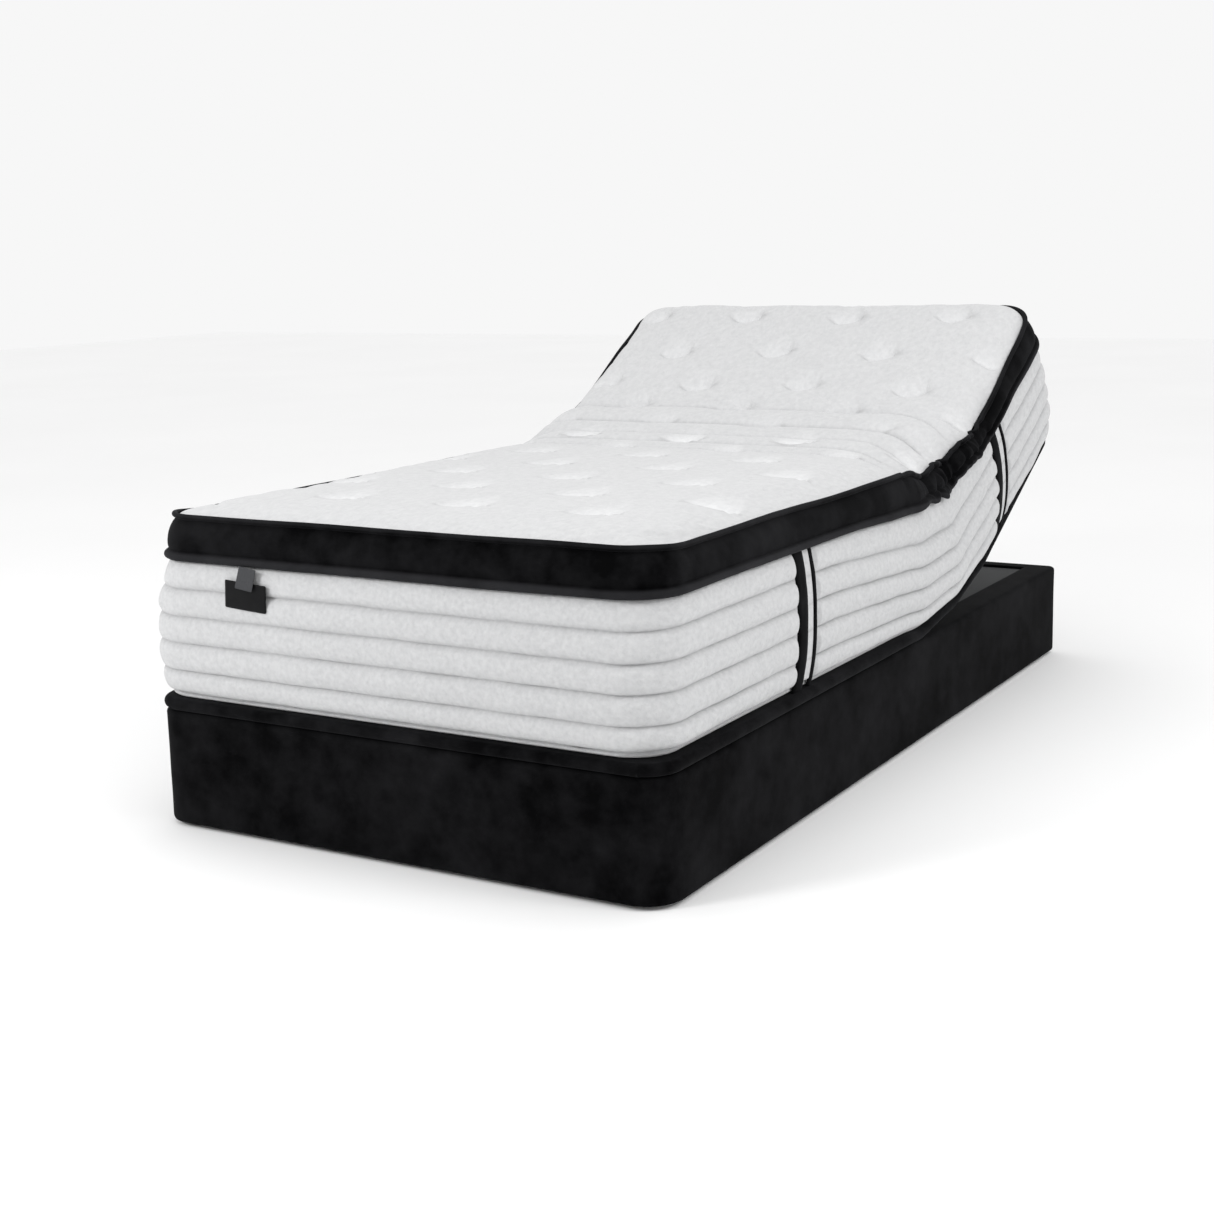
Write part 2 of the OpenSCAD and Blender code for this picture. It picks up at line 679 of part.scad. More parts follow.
// Sliding rod with its fork and the pin that runs in the lever's slot
module rod(l) color(zinc) {
  fork_back = 30;
  difference() {
    union() {
      bar_y(rod_r, rod_start, l - fork_back);
      block([-fork_w / 2, l - fork_back - 10, -12], [fork_w / 2, l, 12]);
      bar(12, -fork_w / 2, fork_w / 2, l);
    }
    block([-fork_gap / 2, l - fork_back, -20], [fork_gap / 2, l + 20, 20]);
  }
  bar(pin_r, -fork_w / 2 - 2, fork_w / 2 + 2, l);
}
module in_head_motor() translate([motor_x, head_pin_y, motor_pin_z]) rotate([head_motor_a, 0, 0]) children();
module in_leg_motor() translate([-motor_x, leg_pin_y, motor_pin_z]) rotate([leg_motor_a, 0, 0]) children();
module head_motor_gearbox() in_head_motor() gearbox(1);
module head_motor_tube() in_head_motor() outer_tube();
module head_motor_rod() in_head_motor() rod(norm(head_motor_v));
module leg_motor_gearbox() in_leg_motor() gearbox(-1);
module leg_motor_tube() in_leg_motor() outer_tube();
module leg_motor_rod() in_leg_motor() rod(norm(leg_motor_v));

side_rails();
end_rails();
corner_blocks();
plank_supports();
rim_side_boards();
rim_end_boards();
cover_planks();
side_skins();
end_skins();
glides();
glide_screws();
headboard_t_nuts();
chassis_rails();
cross_tubes();
pivot_brackets();
motor_brackets();
motor_pins();
control_box();
power_supply();
seat_board();
seat_cover();
seat_hinges();
seat_mattress();
lumbar_1_board();
lumbar_1_cover();
lumbar_1_hinges();
lumbar_1_mattress();
lumbar_2_board();
lumbar_2_cover();
lumbar_2_hinges();
lumbar_2_mattress();
head_board();
head_cover();
head_hinges();
head_tracks();
head_mattress();
thigh_board();
thigh_cover();
thigh_hinges();
thigh_tracks();
thigh_mattress();
calf_board();
calf_cover();
calf_hinges();
calf_glides();
calf_mattress();
head_torsion_tube();
head_lift_arms();
head_roller_pins();
head_rollers();
leg_torsion_tube();
leg_lift_arms();
leg_roller_pins();
leg_rollers();
head_motor_gearbox();
head_motor_tube();
head_motor_rod();
leg_motor_gearbox();
leg_motor_tube();
leg_motor_rod();
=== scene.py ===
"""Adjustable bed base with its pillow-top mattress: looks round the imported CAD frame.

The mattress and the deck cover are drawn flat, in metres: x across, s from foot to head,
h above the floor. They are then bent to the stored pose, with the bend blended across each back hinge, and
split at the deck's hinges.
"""

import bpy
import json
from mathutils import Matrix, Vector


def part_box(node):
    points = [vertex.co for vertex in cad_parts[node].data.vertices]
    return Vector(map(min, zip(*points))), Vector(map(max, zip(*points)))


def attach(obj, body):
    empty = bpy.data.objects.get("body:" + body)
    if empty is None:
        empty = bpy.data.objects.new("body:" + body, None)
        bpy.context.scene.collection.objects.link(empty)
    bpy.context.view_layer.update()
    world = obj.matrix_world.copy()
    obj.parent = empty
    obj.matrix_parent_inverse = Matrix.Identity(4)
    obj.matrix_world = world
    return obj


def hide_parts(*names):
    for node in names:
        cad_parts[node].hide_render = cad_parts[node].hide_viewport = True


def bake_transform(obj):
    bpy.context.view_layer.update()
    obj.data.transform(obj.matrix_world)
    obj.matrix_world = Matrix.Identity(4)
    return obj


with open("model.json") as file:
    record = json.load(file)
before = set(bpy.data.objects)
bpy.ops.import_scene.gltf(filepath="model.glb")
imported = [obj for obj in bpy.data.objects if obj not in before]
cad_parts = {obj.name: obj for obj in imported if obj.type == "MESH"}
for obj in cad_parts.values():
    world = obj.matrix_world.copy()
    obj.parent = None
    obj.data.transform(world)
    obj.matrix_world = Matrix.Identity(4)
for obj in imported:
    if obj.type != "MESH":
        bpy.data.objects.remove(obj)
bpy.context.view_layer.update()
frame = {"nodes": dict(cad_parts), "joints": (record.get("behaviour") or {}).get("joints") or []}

import json
import math

import bmesh
import bpy
import numpy as np
from mathutils import Matrix, Vector, noise

JOINT = {j["name"]: j for j in frame["joints"]}


def joint_place(name):
    """(y, z) of a joint's axis at rest."""
    return np.array(JOINT[name]["pos_m"][1:])


# Deck, from the frame
HINGE = [joint_place(n) for n in ("head_lift", "lumbar_fold", "head_fold")]
FOLD = -math.radians(JOINT["head_lift"]["range_deg"][0])
SHORT_PANEL = float(np.linalg.norm(HINGE[1] - HINGE[0]))
HINGE_Z = float(HINGE[0][1])
HINGE_S = [float(HINGE[0][0]) + k * SHORT_PANEL for k in range(3)]
HIP_S = float(joint_place("knee_lift")[0])
KNEE_S = float(joint_place("knee_fold")[0])
BED_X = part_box("calf_cover")[1].x
BED_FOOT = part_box("calf_cover")[0].y
BED_HEAD = -BED_FOOT
BED_CORNER_R = 0.067
HINGE_HALF_W = 0.030
DECK_LOW, DECK_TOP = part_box("seat_cover")[0].z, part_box("seat_cover")[1].z
# Half-lengths of the zones that bend: across a back hinge, before and behind the hip, the knee
BACK_REACH = 0.064
HIP_HEAD_REACH, HIP_FOOT_REACH = 0.105, 0.125
KNEE_REACH = 0.170

# Mattress, drawn flat
SIDE_X = BED_X - 0.010
SIDE_END = BED_HEAD - 0.010
CORNER_R = 0.085
HEM = DECK_TOP + 0.0005
SEAMS = [0.2515, 0.294, 0.346, 0.395, 0.445, 0.499]
BORDER_LOW = 0.495
BORDER_TOP = 0.571
TOP_INSET = 0.019
CROWN = 0.026
CHANNEL_PUFF = 0.0125

# Places where the folding pieces are cut into sections
CUTS = [-0.310, -0.020, HINGE_S[0] + SHORT_PANEL / 2, HINGE_S[1] + SHORT_PANEL / 2]


def hinge_ends(k, reach):
    """Ends of the blend zone of back hinge k, at rest."""
    lean = FOLD * (k + 0.5)
    along = np.array([math.cos(lean), math.sin(lean)]) * reach
    return [(0, *(HINGE[k] + side * along)) for side in (-1, 1)]


# Sections of the folding pieces: name, the bodies each bends between and the ends of that bend
SECTIONS = [
    ("foot", "thigh", "calf", [(0, KNEE_S + KNEE_REACH, HINGE_Z), (0, KNEE_S - KNEE_REACH, HINGE_Z)]),
    ("hip", "root", "thigh", [(0, HIP_S + HIP_HEAD_REACH, HINGE_Z), (0, HIP_S - HIP_FOOT_REACH, HINGE_Z)]),
    ("back_1", "root", "lumbar_1", hinge_ends(0, BACK_REACH)),
    ("back_2", "lumbar_1", "lumbar_2", hinge_ends(1, BACK_REACH)),
    ("head", "lumbar_2", "head_section", hinge_ends(2, BACK_REACH)),
]
MATTRESS_NODES = {
    "foot": ("calf_mattress", "thigh_mattress"), "hip": ("seat_mattress",),
    "back_1": ("lumbar_1_mattress",), "back_2": ("lumbar_2_mattress",), "head": ("head_mattress",),
}
DECK_NODES = {
    "foot": ("calf_cover", "calf_board", "thigh_cover", "thigh_board"),
    "hip": ("seat_cover", "seat_board"),
    "back_1": ("lumbar_1_cover", "lumbar_1_board"),
    "back_2": ("lumbar_2_cover", "lumbar_2_board"),
    "head": ("head_cover", "head_board"),
}


# ---------- numbers ----------

def smooth(t):
    t = np.clip(t, 0, 1)
    return t * t * (3 - 2 * t)


def wobble(points, size, seed=0.0):
    """Smooth noise from -1 to 1 at each point, with features of about that size."""
    shift = Vector((seed * 17.3, seed * 5.1, seed * 11.7))
    return np.array([noise.noise(Vector(p) / size + shift) for p in points])


def bump(t, width):
    """A soft hill, 1 high at t = 0."""
    return np.exp(-(t / width) ** 2)


def turned(points, centre, angle):
    """Points turned about the X axis through a (y, z) centre."""
    y, z = points[:, 1] - centre[0], points[:, 2] - centre[1]
    c, s = np.cos(angle), np.sin(angle)
    return np.column_stack([points[:, 0], centre[0] + y * c - z * s, centre[1] + y * s + z * c])


def to_rest(points):
    out = np.array(points, float)
    lean = np.array([0, math.cos(FOLD / 2), math.sin(FOLD / 2)])
    for k in (2, 1, 0):
        centre = (HINGE_S[k], HINGE_Z)
        low, high = np.zeros(len(out)), np.ones(len(out))
        for _ in range(30):
            w = (low + high) / 2
            along = (turned(out, centre, w * FOLD) - (0, *centre)) @ lean
            more = smooth((along + BACK_REACH) / (2 * BACK_REACH)) > w
            low, high = np.where(more, w, low), np.where(more, high, w)
        out = turned(out, centre, (low + high) / 2 * FOLD)
    return out


# ---------- meshes ----------

ACROSS, ALONG, ARC = 88, 184, 12


def plan_loop(x, foot, head, r_foot, r_head):
    """Points round a rounded rectangle, anticlockwise from its foot, and their outward directions."""
    corners = [(x - r_foot, foot + r_foot, r_foot, -90), (x - r_head, head - r_head, r_head, 0),
               (-x + r_head, head - r_head, r_head, 90), (-x + r_foot, foot + r_foot, r_foot, 180)]
    points, out = [], []
    for i, (cx, cy, r, a0) in enumerate(corners):
        px, py, pr, _ = corners[i - 1]
        n = ALONG if i % 2 else ACROSS
        side = np.array([math.cos(math.radians(a0)), math.sin(math.radians(a0))])
        for t in np.linspace(0, 1, n + 1):
            centre = np.array([px + (cx - px) * t, py + (cy - py) * t])
            points.append(centre + side * (pr + (r - pr) * t))
            out.append(side)
        for a in np.radians(a0 + np.linspace(0, 90, ARC + 1)[1:-1]):
            points.append(np.array([cx, cy]) + r * np.array([math.cos(a), math.sin(a)]))
            out.append(np.array([math.cos(a), math.sin(a)]))
    return np.array(points), np.array(out)


def quads(m, n, closed=True):
    """Faces of an m by n grid of points; a closed grid joins its last column to its first."""
    i, j = np.meshgrid(np.arange(m - 1), np.arange(n if closed else n - 1), indexing="ij")
    k = (j + 1) % n
    return np.stack([i * n + j, i * n + k, (i + 1) * n + k, (i + 1) * n + j], -1).reshape(-1, 4)


def new_object(name, points, faces):
    """A smooth-shaded object in the scene."""
    mesh = bpy.data.meshes.new(name)
    mesh.from_pydata([tuple(p) for p in points], [], [tuple(f) for f in faces])
    mesh.validate()
    mesh.shade_smooth()
    obj = bpy.data.objects.new(name, mesh)
    bpy.context.scene.collection.objects.link(obj)
    return obj


def coords(obj):
    """Vertex places of an object, one row each."""
    co = np.empty(len(obj.data.vertices) * 3)
    obj.data.vertices.foreach_get("co", co)
    return co.reshape(-1, 3)


def set_coords(obj, points):
    """Moves the vertices of an object to those places."""
    obj.data.vertices.foreach_set("co", np.asarray(points, float).ravel())
    obj.data.update()


def apply_modifiers(obj):
    """Replaces the mesh with what its modifiers make of it."""
    depsgraph = bpy.context.evaluated_depsgraph_get()
    mesh = bpy.data.meshes.new_from_object(obj.evaluated_get(depsgraph))
    obj.modifiers.clear()
    obj.data = mesh


def subdivided(obj, levels=1):
    """Subdivides an object smoothly and keeps its open corners."""
    modifier = obj.modifiers.new("subdivision", "SUBSURF")
    modifier.levels = modifier.render_levels = levels
    modifier.boundary_smooth = "PRESERVE_CORNERS"
    apply_modifiers(obj)
    obj.data.shade_smooth()


def sliced(mesh, places):
    """Cuts edges and faces at each s, so that no face crosses it."""
    bm = bmesh.new()
    bm.from_mesh(mesh)
    for s in places:
        bmesh.ops.bisect_plane(bm, geom=bm.verts[:] + bm.edges[:] + bm.faces[:], dist=1e-6,
                               plane_co=(0, s, 0), plane_no=(0, 1, 0))
    bm.to_mesh(mesh)
    bm.free()


def set_painted_light_and_shade(mesh, values):
    """Painted light and shade of the cloth at each vertex: above 0 a painted highlight makes it paler, below
    0 painted shade makes it darker.
    """
    mesh.attributes.new("painted_light_and_shade", "FLOAT", "POINT").data.foreach_set("value", values)


def folding_pieces(obj, name, material, nodes=None):
    """Splits a flat object at the cuts and bends each part to the stored pose."""
    sliced(obj.data, CUTS)
    flat = coords(obj)
    set_coords(obj, to_rest(flat))
    normals = np.empty(len(flat) * 3)
    obj.data.vertices.foreach_get("normal", normals)
    normals = normals.reshape(-1, 3)
    rest = coords(obj)
    # Painted light and shade (highlights and shade drawn into the colour) travels with the pieces
    painted_light_and_shade = np.zeros(len(flat))
    if "painted_light_and_shade" in obj.data.attributes:
        obj.data.attributes["painted_light_and_shade"].data.foreach_get("value", painted_light_and_shade)
    faces = [tuple(p.vertices) for p in obj.data.polygons]
    middle = np.array([np.mean([flat[v][1] for v in f]) for f in faces])
    edges = [-math.inf, *CUTS, math.inf]
    for (section, body_a, body_b, ends), low, high in zip(SECTIONS, edges, edges[1:]):
        mine = [f for f, m in zip(faces, middle) if low < m < high]
        if not mine:
            continue
        used = np.unique(np.concatenate([np.array(f) for f in mine]))
        new = {int(v): i for i, v in enumerate(used)}
        piece = new_object(f"{name}_{section}", rest[used], [[new[v] for v in f] for f in mine])
        cloth = piece.data.attributes.new("cloth", "FLOAT_VECTOR", "POINT")
        cloth.data.foreach_set("vector", flat[used].ravel())
        set_painted_light_and_shade(piece.data, painted_light_and_shade[used])
        piece.data.normals_split_custom_set_from_vertices(normals[used])
        piece.data.materials.append(material)
        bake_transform(piece)
        if nodes:
            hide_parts(*nodes[section])
    bpy.data.objects.remove(obj)


# ---------- materials ----------

class Shader:
    """A node material built from short calls."""

    def __init__(self, name, **sockets):
        self.material = bpy.data.materials.new(name)
        self.material.use_nodes = True
        self.tree = self.material.node_tree
        self.bsdf = self.tree.nodes["Principled BSDF"]
        for key, value in sockets.items():
            self.bsdf.inputs[key.replace("_", " ").title()].default_value = value

    def node(self, kind, settings=(), **inputs):
        """A node with those settings, whose inputs are sockets or values."""
        n = self.tree.nodes.new(kind)
        for key, value in dict(settings).items():
            setattr(n, key, value)
        for key, value in inputs.items():
            self.link(value, n.inputs[key])
        return n

    def link(self, value, socket):
        """Links a socket to an input, or sets the input to a value."""
        if isinstance(value, bpy.types.NodeSocket):
            self.tree.links.new(value, socket)
        else:
            socket.default_value = value

    def place(self, attribute=None, scale=(1, 1, 1)):
        """Coordinates from the flat cloth, or from the object."""
        if attribute:
            source = self.node("ShaderNodeAttribute", {"attribute_name": attribute}).outputs["Vector"]
        else:
            source = self.node("ShaderNodeTexCoord").outputs["Object"]
        return self.node("ShaderNodeMapping", Vector=source, Scale=scale).outputs["Vector"]

    def noise(self, place, scale, detail=3.0, rough=0.55):
        """Noise from 0 to 1 at a place."""
        return self.node("ShaderNodeTexNoise", Vector=place, Scale=scale, Detail=detail,
                         Roughness=rough).outputs["Fac"]

    def ramp(self, value, low, high, start=0.3, end=0.7):
        """A colour that goes from low to high as value goes from start to end."""
        n = self.node("ShaderNodeValToRGB", Fac=value)
        n.color_ramp.elements[0].position, n.color_ramp.elements[1].position = start, end
        n.color_ramp.elements[0].color, n.color_ramp.elements[1].color = (*low, 1), (*high, 1)
        return n.outputs["Color"]

    def scaled(self, value, low, high):
        """A value from 0 to 1, mapped to run from low to high."""
        limits = {"To Min": low, "To Max": high}
        return self.node("ShaderNodeMapRange", Value=value, **limits).outputs["Result"]

    def math(self, operation, a, b):
        """Sum or product of two sockets or values."""
        n = self.tree.nodes.new("ShaderNodeMath")
        n.operation = operation
        self.link(a, n.inputs[0])
        self.link(b, n.inputs[1])
        return n.outputs[0]

    def colour(self, value):
        self.link(value, self.bsdf.inputs["Base Color"])

    def roughness(self, value):
        self.link(value, self.bsdf.inputs["Roughness"])

    def bump(self, height, strength, distance):
        """Fine surface grain from a height."""
        n = self.node("ShaderNodeBump", Height=height, Strength=strength, Distance=distance)
        self.link(n.outputs["Normal"], self.bsdf.inputs["Normal"])


def knit_material(name, pebble, low, high):
    """White knit with a pebbled surface, whose tone follows the painted light and shade attribute: paler with
    painted highlight above 0, darker with painted shade below 0.
    """
    m = Shader(name, roughness=0.9, sheen_weight=0.25, sheen_roughness=0.5)
    place = m.place("cloth", (1, 0.7, 1))
    coarse = m.noise(place, pebble, 3.0, 0.55)
    fine = m.noise(place, 520.0, 2.0, 0.6)
    # Painted light and shade: the colour is scaled up to 24 % paler or darker by the attribute
    painted_light_and_shade = m.node("ShaderNodeAttribute", {"attribute_name": "painted_light_and_shade"}).outputs["Fac"]
    tone = m.math("ADD", m.math("MULTIPLY", painted_light_and_shade, 0.24), 1.0)
    base = m.ramp(coarse, low, high, 0.25, 0.75)
    toned = m.node("ShaderNodeVectorMath", {"operation": "SCALE"}, Vector=base, Scale=tone)
    m.colour(toned.outputs["Vector"])
    m.roughness(m.scaled(fine, 0.8, 0.98))
    m.bump(m.math("ADD", coarse, m.math("MULTIPLY", fine, 0.3)), 0.7, 0.0028)
    return m.material


def velvet_material(name, high, sheen, place_from=None):
    """Black velvet brushed in soft patches, with a painted highlight where the painted light and shade
    attribute is above 0.
    """
    m = Shader(name, roughness=0.8, sheen_weight=sheen, sheen_roughness=0.4)
    m.bsdf.inputs["Sheen Tint"].default_value = (0.55, 0.56, 0.6, 1)
    m.bsdf.inputs["Specular IOR Level"].default_value = 0.03
    place = m.place(place_from)
    broad = m.noise(place, 4.5, 6.0, 0.62)
    strokes = m.noise(place, 26.0, 4.0, 0.6)
    patches = m.math("ADD", m.math("MULTIPLY", broad, 0.7), m.math("MULTIPLY", strokes, 0.3))
    pile = m.noise(place, 900.0, 2.0, 0.6)
    pale = m.ramp(patches, (0.0008, 0.0008, 0.001), (high, high, 1.09 * high), 0.40, 0.66)
    # Painted highlight: the colour is lifted where the attribute is above 0
    painted_light_and_shade = m.node("ShaderNodeAttribute", {"attribute_name": "painted_light_and_shade"}).outputs["Fac"]
    lift = m.node("ShaderNodeCombineColor", Red=m.math("MULTIPLY", painted_light_and_shade, 0.013),
                  Green=m.math("MULTIPLY", painted_light_and_shade, 0.013), Blue=m.math("MULTIPLY", painted_light_and_shade, 0.014))
    total = m.node("ShaderNodeVectorMath", {"operation": "ADD"})
    m.link(pale, total.inputs[0])
    m.link(lift.outputs["Color"], total.inputs[1])
    m.colour(total.outputs["Vector"])
    m.roughness(m.scaled(patches, 0.72, 0.95))
    m.bump(m.math("ADD", m.math("MULTIPLY", patches, 0.5), m.math("MULTIPLY", pile, 0.1)), 0.5, 0.003)
    return m.material


def plain_material(name, low, high, scale, rough, metal=0.0, stretch=(1, 1, 1),
                   bump_depth=0.0004, gloss=0.5):
    """Two tones of one material mixed by stretched noise: grain, brushing, weave or moulded grain."""
    m = Shader(name, metallic=metal)
    m.bsdf.inputs["Specular IOR Level"].default_value = gloss
    place = m.place(scale=stretch)
    value = m.noise(place, scale, 4.0, 0.6)
    m.colour(m.ramp(value, low, high))
    m.roughness(m.scaled(value, rough - 0.08, rough + 0.08))
    m.bump(value, 0.6, bump_depth)
    return m.material


white_top = knit_material("white_knit_top", 95.0, (0.54, 0.543, 0.549), (0.62, 0.622, 0.627))
white_side = knit_material("white_knit_side", 120.0, (0.46, 0.463, 0.47), (0.56, 0.562, 0.567))
velvet_border = velvet_material("velvet_border", 0.0115, 0.055, "cloth")
velvet_box = velvet_material("velvet_box", 0.0105, 0.02)


# ---------- mattress ----------

def outward(points):
    """Outward direction in plan at each point of a wall that follows the mattress outline."""
    x, s = points[:, 0], points[:, 1]
    d = np.column_stack([np.sign(x) * np.maximum(np.abs(x) - (SIDE_X - CORNER_R), 0),
                         np.sign(s) * np.maximum(np.abs(s) - (SIDE_END - CORNER_R), 0)])
    return d / np.maximum(np.linalg.norm(d, axis=1), 1e-9)[:, None]


def in_bend(s):
    """1 where the stored pose folds the back, fading out on both sides."""
    return smooth((s - 0.06) / 0.12) * (1 - smooth((s - 0.62) / 0.25))


def edge_top(x, s):
    """Height of the border's top edge: it dips in the bend and at the head."""
    middle = 1 - smooth((np.abs(x) - 0.2) / 0.2)
    dip = 0.022 * in_bend(s) + 0.009 * smooth((s - 0.84) / 0.12) * middle
    left = 0.007 * smooth((-x - 0.3) / 0.2) * smooth((s - 0.2) / 0.2)
    foot = 0.008 * smooth((-s - 0.86) / 0.13)
    head = 0.006 * smooth((s - 0.88) / 0.1) * smooth((x - 0.2) / 0.25)
    return BORDER_TOP + foot + head - dip - left


def seam_sag(s):
    """Drop of the top seam of the side: it grows towards the bend, kinks there and ends."""
    return 0.039 * np.clip(np.minimum((s + 0.35) / 0.64, (0.50 - s) / 0.21), 0, 1)


def border_sag(s):
    """Drop of the border's lower piping in the bend."""
    return 0.009 * smooth((s + 0.3) / 0.3) * (1 - smooth((s - 0.3) / 0.15)) + 0.009 * bump(s - 0.285, 0.05)


def leaned(points):
    """The mattress lies a little askew on the deck, and its raised back leans to the right."""
    out = np.array(points)
    x, s, h = points.T
    up = np.clip((h - HEM) / (BORDER_TOP - HEM), 0, 1.1)
    left = smooth((-x - 0.2) / 0.3)
    base = 0.012 * smooth((s + 0.05) / 0.3) + 0.006 * smooth((s - 0.5) / 0.4)
    top = (0.028 + 0.012 * left) * smooth((s - 0.22) / 0.32) * (1 - 0.3 * smooth((s - 0.84) / 0.16))
    out[:, 0] += base * (1 - up) + top * up - 0.006 * smooth(-s / 0.9)
    out[:, 0] += 0.015 * left * smooth((up - 0.5) / 0.3) * smooth(-s / 0.7)
    out[:, 1] += 0.013 * smooth((s - 0.7) / 0.3)
    return out


# Straps: foot-side edge of each pair at the hem, and how far it leans towards the head above
STRAPS = [(-0.508, 0.0), (0.537, 0.048)]
WIDE_TAPE, TAPE_GAP, THIN_TAPE = 0.037, 0.024, 0.014
STRAP_W = WIDE_TAPE + TAPE_GAP + THIN_TAPE
STRAP_LEVEL = 0.0062


def barrel(way, h):
    """The side curves in towards its two edges, and swells more where its outward x is to the left."""
    t = np.abs(2 * (h - HEM) / (BORDER_LOW - HEM) - 1)
    low = np.clip((BORDER_LOW - h) / (BORDER_LOW - HEM), 0, 1)
    return 0.0045 * (1 - t ** 2) - 0.009 * t ** 2.6 + smooth(-way) * (0.007 * smooth(low) + 0.002)


def strap_edge(h, strap):
    """Place of a strap's foot-side edge at that height."""
    return strap[0] + strap[1] * (1 - np.exp(-(h - HEM) / 0.09))


def banded_side():
    """White side with five channels and a rolled hem, closed by the flat underside."""
    base, _ = plan_loop(SIDE_X, -SIDE_END, SIDE_END, CORNER_R, CORNER_R)
    hem = [(0, -0.012), (0.001, -0.004), (0.004, -0.001), (0.008, -0.003), (0.0105, -0.008)]
    heights = [HEM + h for h, _ in hem]
    for low, high in zip(SEAMS, SEAMS[1:]):
        t = np.linspace(-1, 1, 11)[1 if low > SEAMS[0] else 0:]
        heights += list((low + high) / 2 + (high - low) / 2 * np.sign(t) * np.abs(t) ** 0.8)
    rows = np.array([np.column_stack([base, np.full(len(base), h)]) for h in heights])
    n = len(base)
    obj = new_object("mattress_side", rows.reshape(-1, 3), quads(len(rows), n))
    bm = bmesh.new()
    bm.from_mesh(obj.data)
    bm.verts.ensure_lookup_table()
    bm.faces.new([bm.verts[i] for i in range(n - 1, -1, -1)])
    bm.to_mesh(obj.data)
    bm.free()
    fine = [np.arange(-0.98, 0.99, 0.02)]
    for s0, lean in STRAPS:
        fine.append(np.arange(s0 - 0.021, s0 + STRAP_W + lean + 0.012, 0.0035) + 0.0003)
    sliced(obj.data, np.concatenate(fine))
    points = coords(obj)
    x, s, h = points.T
    out = outward(points)
    seams = np.array(SEAMS)
    channel = np.clip(np.searchsorted(seams, h, side="right") - 1, 0, len(seams) - 2)
    t = (h - seams[channel]) / (seams[channel + 1] - seams[channel])
    puff = np.where(h > seams[0], (1 - np.abs(np.clip(2 * t - 1, -1, 1)) ** 2.3) ** 0.6, 0)
    uneven = 1 + 0.3 * wobble(points, 0.1, 1) + 0.12 * wobble(points, 0.035, 4)
    swell = CHANNEL_PUFF * puff * (1 - 0.3 * smooth(-out[:, 0])) * uneven
    swell += 0.0011 * wobble(points, 0.022, 2) * np.sqrt(np.maximum(1 - puff, 0)) * (h > seams[0])
    sides = np.abs(out[:, 0]) > 0.999
    for strap in STRAPS:
        u = s - strap_edge(h, strap)
        end = smooth(-u / 0.012) + smooth((u - STRAP_W + 0.003) / 0.006)
        swell = np.where(sides & (h > seams[0]), swell * end + (STRAP_LEVEL - 0.0015) * (1 - end)
                         * smooth((u + 0.003) / 0.006), swell)
    hem_h, hem_o = zip(*hem)
    rolled_hem = np.interp(h - HEM, hem_h, hem_o) * (h < seams[0] + 0.001)
    offset = swell + rolled_hem + barrel(out[:, 0], h)
    edge = np.linalg.norm(out, axis=1) > 0.5
    points[:, :2] += out * (offset * edge)[:, None]
    # Painted shade along the seams, stronger on the long sides and towards the head
    nearest = np.abs(h[:, None] - seams[None, 1:]).min(1)
    shade = 0.5 + 0.3 * np.abs(out[:, 0]) * (1 + smooth((s - 0.5) / 0.2))
    set_painted_light_and_shade(obj.data, -shade * bump(nearest, 0.0032) * (h > seams[0] + 0.01))
    ripple = np.where(h > seams[0], 0.0014 * wobble(points, 0.07, 3), 0)
    low = np.clip((h - HEM) / (seams[-2] - HEM), 0, 1)
    high = np.clip((h - seams[-2]) / (seams[-1] - seams[-2]), 0, 1)
    points[:, 2] += ripple - seam_sag(s) * (1 - (1 - low) ** 2) * (1 - high) - border_sag(s) * high
    set_coords(obj, leaned(points))
    return obj


# Folds pressed into the border by the bend: place, depth, half-width and height of their middle
FOLDS = [(0.178, 0.011, 0.007, 0.60), (0.222, 0.008, 0.006, 0.25), (0.252, 0.009, 0.006, 0.70),
         (0.300, 0.012, 0.007, 0.80), (0.338, 0.005, 0.008, 0.35), (0.398, 0.006, 0.007, 0.55),
         (0.445, 0.004, 0.008, 0.30), (0.500, 0.009, 0.008, 0.85), (0.560, 0.004, 0.009, 0.50)]
PUFFS = [(0.02, 0.178, 0.006), (0.178, 0.300, 0.011), (0.300, 0.500, 0.010), (0.500, 0.72, 0.004)]


